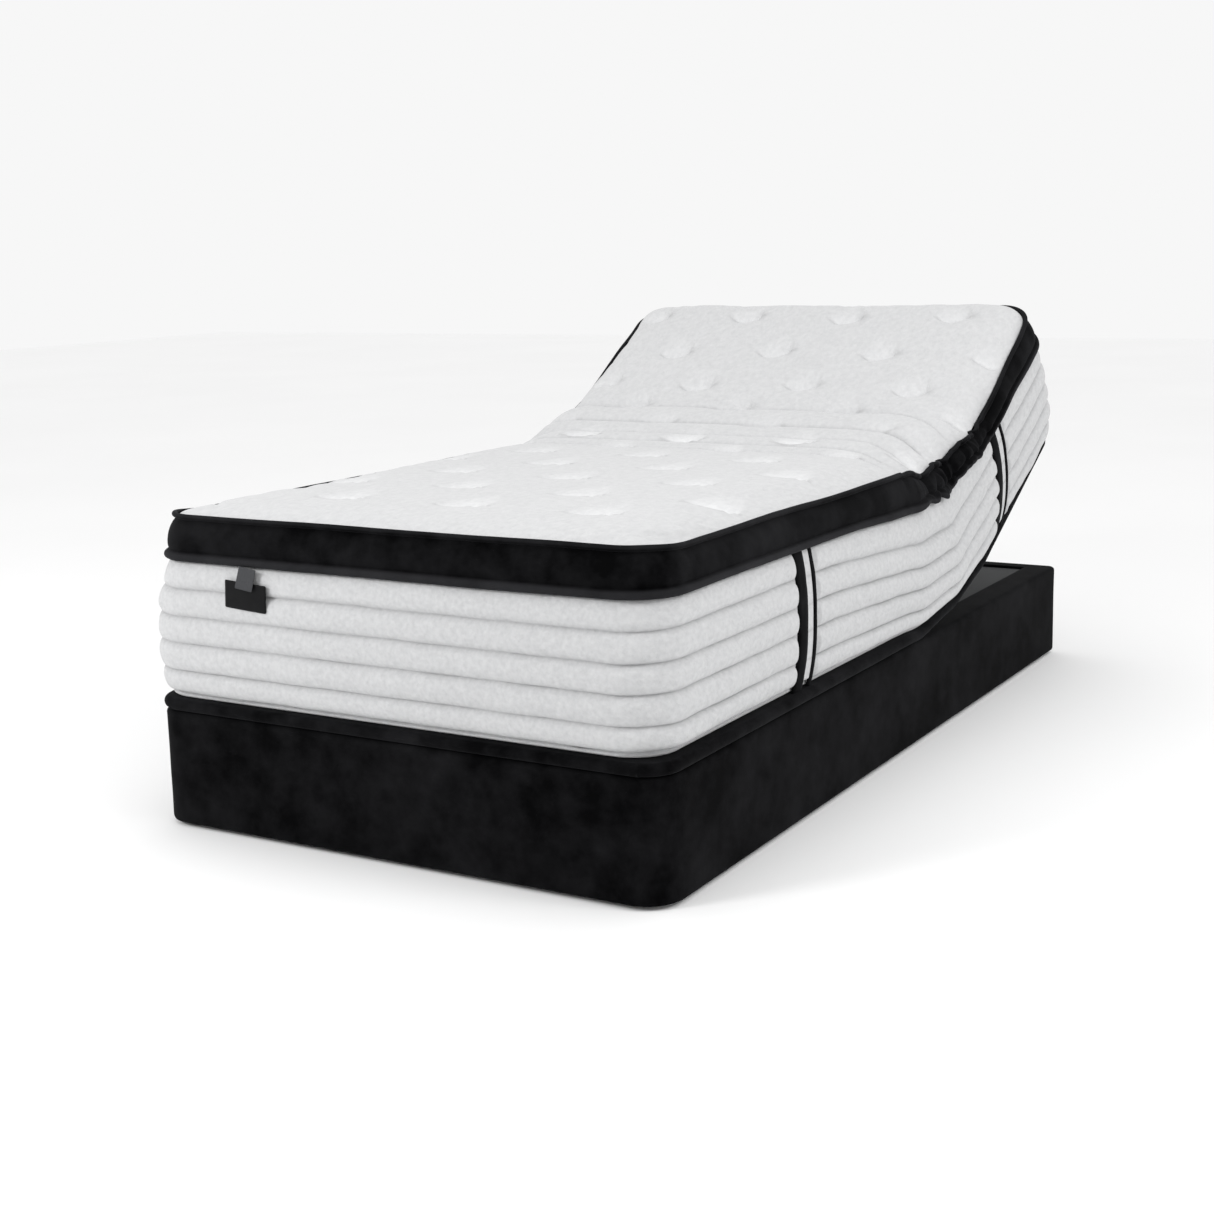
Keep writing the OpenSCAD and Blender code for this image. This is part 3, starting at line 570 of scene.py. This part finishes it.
def border():
    """Black velvet border with a thick piping below and a thin one above, crumpled in the bend."""
    base, out = plan_loop(SIDE_X, -SIDE_END, SIDE_END, CORNER_R, CORNER_R)
    x, s = base[:, 0], base[:, 1]
    low, top = np.full(len(s), BORDER_LOW), edge_top(x, s)
    ground = np.column_stack([base, low])
    low = low + 0.0016 * wobble(ground, 0.2, 7)
    top = top + 0.0030 * wobble(ground, 0.24, 9)
    rows = []

    def row(h, o):
        rows.append(np.column_stack([base + out * o, h]))

    for a in np.radians(np.linspace(-140, 95, 8)):
        row(low + 0.0072 + 0.0072 * math.sin(a), 0.0045 + 0.0072 * math.cos(a))
    for t in (0.0, 0.05, 0.13, 0.25, 0.4, 0.55, 0.7, 0.83, 0.93, 1.0):
        belly = (1 - abs(2 * t - 1) ** 2.2) ** 0.7
        row(low + 0.016 + (top - 0.0115 - low - 0.016) * t, 0.001 - 0.0165 * t + 0.0085 * belly)
    for a in np.radians(np.linspace(-70, 170, 7)):
        row(top - 0.0055 + 0.0055 * math.sin(a), -0.0125 + 0.0055 * math.cos(a))
    rows = np.array(rows)
    obj = new_object("mattress_border", rows.reshape(-1, 3), quads(len(rows), len(base)))
    subdivided(obj)
    points = coords(obj)
    x, s, h = points.T
    out = outward(points)
    up = np.clip((h - BORDER_LOW) / (edge_top(x, s) - BORDER_LOW), 0, 1)
    # Painted highlight on the lower piping and the strip above it, and at half strength on the upper piping
    set_painted_light_and_shade(obj.data, smooth((0.20 - up) / 0.06) + 0.5 * smooth((up - 0.90) / 0.05))
    side = np.abs(out[:, 0]) ** 4
    offset = 0.0024 * wobble(points, 0.17, 5) + 0.0010 * wobble(points, 0.05, 6)
    rise = np.zeros(len(s))
    for k, (place, depth, width, middle) in enumerate(FOLDS):
        slant = place + (0.018 if k % 2 else -0.012) * (up - 0.5) + 0.004 * np.sin(9 * up + 2 * k)
        reach = bump(up - middle, 0.42)
        fold = bump(s - slant, width) - 0.45 * bump(s - slant - 2 * width, 1.6 * width)
        offset -= side * depth * reach * fold
    for start, end, height in PUFFS:
        t = np.clip((s - start) / (end - start), 0, 1)
        arch = np.sin(np.pi * t ** 1.35)
        inside = (s > start) & (s < end) & (x > 0)
        offset += np.where(inside, side * 0.55 * height * arch, 0)
        rise += np.where(inside, side * height * (arch - 0.35) * up, 0)
    for place, size in ((0.190, 0.009), (0.243, 0.008)):
        sag = side * bump(s - place, 0.017) * (1 - up) ** 2
        offset += size * sag
        rise -= 0.9 * size * sag
    crumpled = smooth((s - 0.05) / 0.1) * (1 - smooth((s - 0.46) / 0.16))
    offset += 0.0021 * side * crumpled * wobble(points * (1, 3.2, 0.9), 0.045, 18)
    points[:, :2] += out * offset[:, None]
    points[:, 2] += rise - border_sag(s) * (1 - up) ** 1.5
    set_coords(obj, leaned(points))
    return obj


def strap_tape(name, strap, start, width, side):
    """One black tape of a strap pair, sewn over the channels on one side of the mattress."""
    heights = np.linspace(HEM - 0.001, BORDER_LOW + 0.004, 44)
    profile = [(0.0, -0.004), (0.0006, 0.0), (0.25 * width, 0.0008), (0.5 * width, 0.001),
               (0.75 * width, 0.0008), (width - 0.0006, 0.0), (width, -0.004)]
    points = []
    for u, proud in profile:
        for h in heights:
            s = strap_edge(h, strap) + start + u
            points.append((side * (SIDE_X + STRAP_LEVEL + proud + barrel(side, h)), s, h))
    points = np.array(points)
    sway = 0.0012 * wobble(points * (0, 1, 1), 0.05, 14 + side)
    points[:, 1] += sway
    points[:, 0] += side * 0.0006 * wobble(points, 0.03, 15)
    faces = [f if side < 0 else f[::-1] for f in quads(len(profile), len(heights), closed=False).tolist()]
    return new_object(name, leaned(points), faces)


TUFT_ROWS = [0.910, 0.762, 0.616, 0.505, 0.375, 0.215, 0.085, -0.075, -0.250, -0.430, -0.615, -0.800]
TUFT_STEP = 0.264
TUFT_HALF = 0.046


def tufts():
    """Middle and strength of each tuft: alternate rows are shifted and drift across towards the foot."""
    places = []
    for i, s in enumerate(TUFT_ROWS):
        drift = 0.08 * float(smooth((0.3 - s) / 1.1))
        first = -0.444 if i % 2 == 0 else -0.309
        for k in range(4):
            x = first + TUFT_STEP * k + drift
            if abs(x) < SIDE_X - 0.04:
                places.append((x, s + 0.006 * math.sin(9.1 * k + 4.3 * i), 0.3 if i == 4 else 1.0))
    return places


def dimples(points):
    """Depth and painted light and shade of the tufts: each drops steeply from a crease and rises gently to
    the head.
    """
    depth, painted_light_and_shade = np.zeros(len(points)), np.zeros(len(points))
    for x, s, strength in tufts():
        near = np.flatnonzero((np.abs(points[:, 0] - x) < 0.09) & (np.abs(points[:, 1] - s) < 0.14))
        dx, ds = points[near, 0] - x, points[near, 1] - s
        flat = float(smooth((0.58 - s) / 0.35))
        half, reach = TUFT_HALF + 0.010 * flat, 0.026 + 0.012 * flat
        u = ds - (8.0 - 3 * flat) * dx ** 2 - 0.10 * dx + 0.018
        far = np.maximum(u, 0)
        across = np.where(u < 0, bump(u, 0.006), np.exp(-(far / reach) ** 1.1))
        width = half * np.sqrt(np.clip(1 - far / (3.2 * reach), 0.02, 1))
        ends = strength * np.clip(1 - (dx / width) ** 2, 0, 1) ** 0.7 * (1 + 8 * dx)
        flank = smooth((half - 0.006 - dx) / 0.010)
        depth[near] = np.maximum(depth[near], (1 - 0.45 * flat) * across * ends * flank)
        r, turn = np.hypot(dx - 0.036, ds - 0.002), np.arctan2(ds - 0.002, dx - 0.036)
        depth[near] += 0.10 * strength * np.cos(6 * turn + 2) * bump(r - 0.017, 0.012)
        # Painted highlight on the gentle far wall, painted shade in the crease and beside the tuft's end
        painted_highlight = ends * flank * np.exp(-far / ((0.9 + 0.4 * flat) * reach)) * smooth((u - 0.0005) / 0.004)
        painted_crease_shade = np.sqrt(ends) * bump(u + 0.003 + 0.003 * flat, 0.0042 + 0.004 * flat) * (1 + 0.3 * flat)
        painted_end_shade = bump(dx - half - 0.001, 0.008) * bump(ds + 0.002, 0.014) * (1 - flat)
        painted_light_and_shade[near] += (1.15 + 0.25 * flat) * painted_highlight - 0.9 * painted_crease_shade - 0.55 * painted_end_shade
    return depth, painted_light_and_shade


def top_sheet():
    """Crowned top panel: rings inside the border, then a regular grid."""
    base, out = plan_loop(SIDE_X, -SIDE_END, SIDE_END, CORNER_R, CORNER_R)
    insets = np.linspace(TOP_INSET, CORNER_R, 9)
    rings = np.array([base - out * d for d in insets[:-1]])
    n = len(base)
    points = list(rings.reshape(-1, 2))
    faces = [tuple(f) for f in quads(len(rings), n)]
    xs = np.linspace(-(SIDE_X - CORNER_R), SIDE_X - CORNER_R, ACROSS + 1)
    ss = np.linspace(-(SIDE_END - CORNER_R), SIDE_END - CORNER_R, ALONG + 1)
    start = len(points)
    points += [np.array([x, s]) for s in ss for x in xs]

    def at(i, j):
        return start + j * (ACROSS + 1) + i

    faces += [(at(i, j), at(i + 1, j), at(i + 1, j + 1), at(i, j + 1))
              for j in range(ALONG) for i in range(ACROSS)]
    sides = ([at(i, 0) for i in range(ACROSS + 1)], [at(ACROSS, j) for j in range(ALONG + 1)],
             [at(ACROSS - i, ALONG) for i in range(ACROSS + 1)], [at(0, ALONG - j) for j in range(ALONG + 1)])
    inner = []  # the grid's edge point that each point of the last ring joins
    for side in sides:
        inner += side + [side[-1]] * (ARC - 1)
    last = (len(rings) - 1) * n
    for j in range(n):
        k = (j + 1) % n
        face = [last + j, last + k, inner[k], inner[j]]
        faces.append(tuple(face if inner[j] != inner[k] else face[:3]))
    points = np.array(points)
    reach = np.minimum(SIDE_X - np.abs(points[:, 0]), SIDE_END - np.abs(points[:, 1]))
    reach[:len(rings) * n] = np.repeat(insets[:-1], n)
    depth = np.maximum(reach - TOP_INSET, 0)
    x, s = points.T
    edge = edge_top(x, s) - 0.008
    steep = smooth((s - 0.78) / 0.2) + smooth((-x - 0.2) / 0.25) * smooth((s - 0.2) / 0.2)
    reach_in = 0.042 - 0.024 * np.clip(steep, 0, 1)
    middle = 1 - smooth((np.abs(x) - 0.34) / 0.15)
    crown = CROWN + 0.007 * smooth((s - 0.75) / 0.2)
    h = edge + (BORDER_TOP + crown - 0.008 - edge) * (1 - np.exp(-depth / reach_in))
    belly = np.sin(np.pi * np.clip(depth / 0.06, 0, 1) ** 0.7)
    points[:, 1] += 0.012 * middle * smooth((s - 0.8) / 0.16) * belly
    return new_object("mattress_top", np.column_stack([points, h]), faces), depth


CLOTH_FRAMES = 20
CLOTH_REACH = 0.006


def pillow_top():
    """Top panel: filled out a little by a cloth simulation, then its tufts and ridges are drawn in."""
    obj, depth = top_sheet()
    points = coords(obj)
    pull, _ = dimples(points)
    pinned = (depth < 0.004) | (pull > 0.75)
    points[:, 2] -= 0.006 * pull * smooth(depth / 0.05)
    set_coords(obj, points)
    group = obj.vertex_groups.new(name="held")
    group.add([int(i) for i in np.flatnonzero(pinned)], 1.0, "REPLACE")
    cloth = obj.modifiers.new("cloth", "CLOTH")
    settings = cloth.settings
    settings.vertex_group_mass = "held"
    settings.quality = 6
    settings.use_pressure = True
    settings.uniform_pressure_force = 1.5
    settings.shrink_min = -0.015
    settings.bending_stiffness = 0.6
    settings.effector_weights.gravity = 0
    cloth.collision_settings.use_collision = False
    scene = bpy.context.scene
    scene.frame_start, scene.frame_end = 1, CLOTH_FRAMES
    cloth.point_cache.frame_end = CLOTH_FRAMES
    for f in range(1, CLOTH_FRAMES + 1):
        scene.frame_set(f)
    apply_modifiers(obj)
    scene.frame_set(1)
    moved = coords(obj) - points
    length = np.linalg.norm(moved, axis=1)
    moved *= (np.tanh(length / CLOTH_REACH) * CLOTH_REACH / np.maximum(length, 1e-9))[:, None]
    set_coords(obj, points + moved)
    subdivided(obj)
    points = coords(obj)
    reach = np.minimum(SIDE_X - np.abs(points[:, 0]), SIDE_END - np.abs(points[:, 1])) - TOP_INSET
    pull, painted_light_and_shade = dimples(points)
    ridges, bend_crease_shade = bend_ridges(points)
    points[:, 2] += ridges - 0.015 * pull * smooth(reach / 0.03)
    # Painted light and shade of the tufts, and painted shade along the creases of the bend
    set_painted_light_and_shade(obj.data, painted_light_and_shade * smooth(reach / 0.03) - 0.8 * bend_crease_shade)
    set_coords(obj, leaned(points))
    return obj


# Cross creases of the top in the bend: place and depth
CREASES = [(0.600, 0.0), (0.488, 0.006), (0.368, 0.009), (0.270, 0.005), (0.182, 0.008), (0.110, 0.004)]


def bend_ridges(points):
    """Soft rolls between sharp creases, which turn towards the foot near the right border.

    Gives the height added and where the creases are, which is drawn as painted shade."""
    x, s, _ = points.T
    inside = smooth((SIDE_X - 0.02 - np.abs(x)) / 0.05)
    turn = 0.12 * smooth((x - 0.30) / 0.28) ** 1.4
    wave = 0.004 * wobble(points * (1, 0.3, 0), 0.3, 16)
    t = s + turn + wave
    rise, bend_crease_shade = np.zeros(len(s)), np.zeros(len(s))
    for (before, _), (place, depth) in zip(CREASES[:-1], CREASES[1:]):
        rise -= depth * (bump(t - place, 0.0055) * 0.6 + bump(t - place, 0.018) * 0.4)
        rise += 0.35 * depth * bump(t - (place + before) / 2, (before - place) / 3)
        bend_crease_shade += depth / 0.009 * bump(t - place, 0.0045)
    strength = inside * (0.85 + 0.4 * wobble(points, 0.2, 17))
    return rise * strength, bend_crease_shade * strength


# ---------- deck, box ----------

def rolled(half, steps=5):
    """Height and offset of a rounded edge from its lower to its upper side."""
    return [(half * math.sin(a), half * math.cos(a) - half)
            for a in np.radians(np.linspace(-90, 90, 2 * steps + 1))]


def deck_band():
    """Velvet cover of the deck, one padded band round the panels."""
    base, out = plan_loop(BED_X, BED_FOOT, BED_HEAD, BED_CORNER_R, BED_CORNER_R)
    middle, half = (DECK_LOW + DECK_TOP) / 2, (DECK_TOP - DECK_LOW) / 2
    rows = []
    for z, o in rolled(half):
        ground = np.column_stack([base, np.full(len(base), middle + z)])
        soft = 0.0006 * wobble(ground, 0.05, 8) * (1 - abs(z) / half)
        rows.append(np.column_stack([base + out * (o + soft)[:, None], ground[:, 2]]))
    rows = np.array(rows)
    n = len(base)
    faces = [tuple(f) for f in quads(len(rows), n)]
    faces.append(tuple(range(n - 1, -1, -1)))
    faces.append(tuple(range((len(rows) - 1) * n, len(rows) * n)))
    obj = new_object("deck_cover", rows.reshape(-1, 3), faces)
    sliced(obj.data, np.arange(-0.99, 0.99, 0.018))
    hinge_pockets(obj.data)
    return obj


def hinge_pockets(mesh):
    """Opens the underside of the deck round its hinges, where the real cover is cut too."""
    half_x, half_s, depth = HINGE_HALF_W + 0.0015, 0.046, DECK_TOP - DECK_LOW - 0.005
    outer_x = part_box("seat_hinges")[1].x - HINGE_HALF_W - 0.001
    xs, ss = (-outer_x, 0.0, outer_x), (*HINGE_S, HIP_S, KNEE_S)
    bm = bmesh.new()
    bm.from_mesh(mesh)

    def under(by_x):
        """Faces of the underside that lie in a band of hinges and, if asked, at one of them."""
        found = []
        for face in bm.faces:
            x, s, h = face.calc_center_median()
            band = h < DECK_LOW + 0.0005 and any(abs(s - place) < half_s for place in ss)
            if band and (not by_x or any(abs(x - place) < half_x for place in xs)):
                found.append(face)
        return found

    def cut(faces, place, normal):
        """Cuts only these faces; dicts keep their edges and vertices in the same order each run."""
        edges = dict.fromkeys(e for f in faces for e in f.edges)
        verts = dict.fromkeys(v for f in faces for v in f.verts)
        bmesh.ops.bisect_plane(bm, geom=[*verts, *edges, *faces], dist=1e-6, plane_co=place, plane_no=normal)

    for s in ss:
        for edge in (s - half_s, s + half_s):
            cut(bm.faces[:], (0, edge, 0), (0, 1, 0))
    for x in xs:
        for edge in (x - half_x, x + half_x):
            cut(under(False), (edge, 0, 0), (1, 0, 0))
    mouth = under(True)
    raised = bmesh.ops.extrude_face_region(bm, geom=mouth)["geom"]
    bmesh.ops.translate(bm, verts=[v for v in raised if isinstance(v, bmesh.types.BMVert)], vec=(0, 0, depth))
    bmesh.ops.delete(bm, geom=mouth, context="FACES")
    # Extruding leaves the new faces in an order that changes from run to run
    bm.verts.index_update()
    in_order = sorted(bm.faces, key=lambda face: sorted(v.index for v in face.verts))
    place = {face: i for i, face in enumerate(in_order)}
    bm.faces.sort(key=place.get)
    bm.to_mesh(mesh)
    bm.free()


def box_skin():
    """Velvet skin of the box: over the rounded rim, down the sides and under the rails."""
    low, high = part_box("side_skins"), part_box("end_skins")
    x, foot, head = high[1].x, high[0].y, high[1].y
    z0, z1 = high[0].z, high[1].z
    in_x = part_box("cover_planks")[1].x
    in_foot, in_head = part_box("cover_planks")[0].y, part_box("cover_planks")[1].y
    plank_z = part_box("cover_planks")[0].z + 0.004
    rows = []

    def row(inset, z, soft=1.0):
        """A loop round the box at that inset from its outer face."""
        base, out = plan_loop(x - inset, foot + inset, head - inset, max(0.065 - inset, 0.002),
                              max(0.020 - inset, 0.002))
        ground = np.column_stack([base, np.full(len(base), z)])
        swell = soft * (0.0011 * wobble(ground, 0.22, 11) + 0.0004 * wobble(ground, 0.05, 12))
        rows.append(np.column_stack([base + out * swell[:, None], ground[:, 2]]))

    row(0.026, z0 - 0.0008, 0)
    row(0.005, z0 - 0.0010, 0)
    row(0.0015, z0 + 0.0004, 0.4)
    row(0.0002, z0 + 0.004)
    for t in np.linspace(0.04, 0.93, 16):
        row(0.0, z0 + (z1 - z0) * t)
    edge = 0.009
    for a in np.radians(np.linspace(10, 90, 6)):
        row(edge * (1 - math.cos(a)), z1 - edge + edge * math.sin(a), 0.5)
    outer = rows[-1]
    inner_base, _ = plan_loop(in_x, in_foot, in_head, 0.003, 0.003)
    top = z1 + 0.0003
    for t in (0.25, 0.5, 0.75, 0.9):
        flat = outer[:, :2] * (1 - t) + inner_base * t
        rows.append(np.column_stack([flat, np.full(len(flat), top)]))
    for inset, z in ((0.0012, top - 0.0005), (0.0003, top - 0.002), (0.0, top - 0.005), (0.0, plank_z)):
        base, _ = plan_loop(in_x + inset, in_foot - inset, in_head + inset, 0.003, 0.003)
        rows.append(np.column_stack([base, np.full(len(base), z)]))
    rows = np.array(rows)
    obj = new_object("box_velvet", rows.reshape(-1, 3), quads(len(rows), len(rows[0])))
    obj.data.materials.append(velvet_box)
    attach(obj, "root")
    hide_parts("side_skins", "end_skins", "rim_side_boards", "rim_end_boards")


for side, side_name in ((1, "right"), (-1, "left")):
    for strap in STRAPS:
        for start, width, kind in ((0, WIDE_TAPE, "wide"), (WIDE_TAPE + TAPE_GAP, THIN_TAPE, "thin")):
            folding_pieces(strap_tape("tape", strap, start, width, side), f"strap_{side_name}_{kind}",
                           velvet_border)
folding_pieces(banded_side(), "mattress_side", white_side, MATTRESS_NODES)
folding_pieces(border(), "mattress_border", velvet_border, None)
folding_pieces(pillow_top(), "mattress_top", white_top, None)
folding_pieces(deck_band(), "deck_cover", velvet_border, DECK_NODES)
box_skin()


# ---------- hang tag ----------

def soft_plate(name, x0, x1, z0, z1, y, thick, corner, curl, tilt, lean, material):
    """A thin upright plate with rounded corners, a little curled, facing the foot."""
    base, out = plan_loop((x1 - x0) / 2, (z0 - z1) / 2, (z1 - z0) / 2, corner, corner)
    half, edge = thick / 2, min(thick * 0.35, 0.0006)
    rows = [(edge, -half), (0, -half + edge), (0, half - edge), (edge, half)]
    insets = [0.3 * (z1 - z0), 0.1 * (z1 - z0)]
    rows = [(d, -half) for d in insets] + rows + [(d, half) for d in reversed(insets)]
    points = []
    for inset, depth in rows:
        for (u, v), n in zip(base, out):
            k = 1 - min(inset / corner, 1) if inset < corner else 0
            px, pz = (u - n[0] * inset, v - n[1] * inset) if k else (u * (1 - 2 * inset / (x1 - x0)),
                                                                   v * (1 - 2 * inset / (z1 - z0)))
            points.append((px, depth + curl * (px / (x1 - x0)) ** 2, pz))
    n = len(base)
    faces = [tuple(f) for f in quads(len(rows), n)]
    faces += [tuple(range(n - 1, -1, -1)), tuple(range((len(rows) - 1) * n, len(rows) * n))]
    obj = new_object(name, points, faces)
    turn = Matrix.Rotation(math.radians(lean), 4, "X") @ Matrix.Rotation(math.radians(tilt), 4, "Y")
    obj.data.transform(Matrix.Translation(((x0 + x1) / 2, y, (z0 + z1) / 2)) @ turn)
    bm = bmesh.new()
    bm.from_mesh(obj.data)
    bmesh.ops.recalc_face_normals(bm, faces=bm.faces[:])
    bm.to_mesh(obj.data)
    bm.free()
    obj.data.shade_smooth()
    obj.data.materials.append(material)
    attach(obj, "calf")


def hang_tag():
    """Blank card on a short ribbon sewn under the border at the foot."""
    foot = -(SIDE_END + 0.0150)
    card = plain_material("tag_card", (0.003, 0.003, 0.0035), (0.006, 0.006, 0.0065), 60.0, 0.5,
                          bump_depth=0.0001, gloss=0.1)
    ribbon = plain_material("tag_ribbon", (0.04, 0.041, 0.044), (0.06, 0.061, 0.065), 900.0, 0.8,
                            stretch=(1, 1, 0.15), bump_depth=0.0005, gloss=0.15)
    soft_plate("tag_card", -0.3265, -0.2345, 0.4215, 0.4705, foot - 0.0025, 0.0014, 0.003, 0.004, 3.5, 0,
               card)
    soft_plate("tag_ribbon", -0.296, -0.257, 0.458, 0.4965, foot - 0.0042, 0.0014, 0.002, 0.0015, 7.0, -14.0,
               ribbon)


hang_tag()


# ---------- carried-over CAD nodes ----------

FINISH = {
    "timber": plain_material("timber_pine", (0.52, 0.37, 0.2), (0.72, 0.55, 0.34), 9.0, 0.62,
                             stretch=(3, 0.3, 3)),
    "plywood": plain_material("plywood_birch", (0.5, 0.36, 0.2), (0.66, 0.5, 0.31), 9.0, 0.6,
                              stretch=(3, 0.3, 20)),
    "non_slip_cloth": plain_material("non_slip_cloth_grey", (0.024, 0.025, 0.026),
                                     (0.048, 0.05, 0.052), 500.0, 0.9),
    "zinc_steel": plain_material("zinc_plated_steel", (0.42, 0.44, 0.45), (0.6, 0.61, 0.62),
                                 40.0, 0.34, 1.0),
    "glide_cap": plain_material("polished_cap", (0.62, 0.63, 0.64), (0.75, 0.76, 0.77), 30.0, 0.2, 1.0),
    "black_steel": plain_material("powder_coated_steel", (0.02, 0.021, 0.022), (0.032, 0.033, 0.035),
                                  400.0, 0.5),
    "chrome_rod": plain_material("ground_chrome", (0.68, 0.69, 0.7), (0.8, 0.8, 0.81), 60.0, 0.14, 1.0,
                                 stretch=(1, 12, 1)),
    "black_plastic": plain_material("moulded_plastic", (0.015, 0.015, 0.016), (0.024, 0.024, 0.026),
                                    700.0, 0.52),
    "glide_felt": plain_material("glide_felt", (0.004, 0.004, 0.0045), (0.008, 0.008, 0.0085),
                                 700.0, 0.9, gloss=0.04),
    "nylon": plain_material("white_nylon", (0.66, 0.66, 0.63), (0.76, 0.76, 0.73), 200.0, 0.4),
}


def slot_of(obj):
    """The record's slot of a CAD node."""
    return obj.data.materials[0].name.split(".")[0] if obj.data.materials else ""


for name, obj in frame["nodes"].items():
    finish = FINISH["glide_felt"] if name == "calf_glides" else FINISH.get(slot_of(obj))
    if finish:  # the velvet and knit nodes have none, because the pieces above stand for them
        obj.data.materials[0] = finish


# ---------- stage, light and camera ----------

def floor():
    """Plain pale floor."""
    size = 14.0
    obj = new_object("floor", [(-size, -size, 0), (size, -size, 0), (size, size, 0), (-size, size, 0)],
                     [(0, 1, 2, 3)])
    m = Shader("floor_paper", roughness=0.85)
    m.colour(m.ramp(m.noise(m.place(), 0.8), (0.96, 0.96, 0.96), (0.98, 0.98, 0.98)))
    obj.data.materials.append(m.material)


def area_light(name, place, target, size, power):
    """A round soft light at a place, aimed at a target."""
    data = bpy.data.lights.new(name, "AREA")
    data.shape, data.size, data.energy = "DISK", size, power
    obj = bpy.data.objects.new(name, data)
    obj.location = place
    obj.rotation_euler = (Vector(target) - Vector(place)).to_track_quat("-Z", "Y").to_euler()
    bpy.context.scene.collection.objects.link(obj)


floor()
area_light("key", (-1.6, -3.6, 2.2), (0, 0, 0.5), 1.0, 50)
area_light("fill", (3.2, -0.6, 2.6), (0, 0, 0.4), 1.6, 38)
world = bpy.data.worlds.new("studio")
world.use_nodes = True
world.node_tree.nodes["Background"].inputs["Color"].default_value = (1, 1, 1, 1)
world.node_tree.nodes["Background"].inputs["Strength"].default_value = 0.93
bpy.context.scene.world = world

# Camera fitted to the photograph
YAW, PITCH, ROLL = math.radians(30.43), math.radians(10.755), math.radians(-1.356)
CAMERA_PLACE = (1.8335, -3.3497, 1.0382)
forward = Vector((-math.sin(YAW) * math.cos(PITCH), math.cos(YAW) * math.cos(PITCH), -math.sin(PITCH)))
level_right = Vector((math.cos(YAW), math.sin(YAW), 0))
level_up = level_right.cross(forward)
right = math.cos(ROLL) * level_right + math.sin(ROLL) * level_up
up = math.cos(ROLL) * level_up - math.sin(ROLL) * level_right
camera = bpy.data.objects.new("camera", bpy.data.cameras.new("camera"))
camera.matrix_world = Matrix.Translation(CAMERA_PLACE) @ Matrix((right, up, -forward)).transposed().to_4x4()
camera.data.lens = 53.8
camera.data.sensor_width = 36
camera.data.shift_x, camera.data.shift_y = -0.0088, -0.0193
camera.data.clip_end = 60
bpy.context.scene.collection.objects.link(camera)
bpy.context.scene.camera = camera

bpy.context.scene.view_settings.view_transform = "Standard"

bpy.context.view_layer.update()
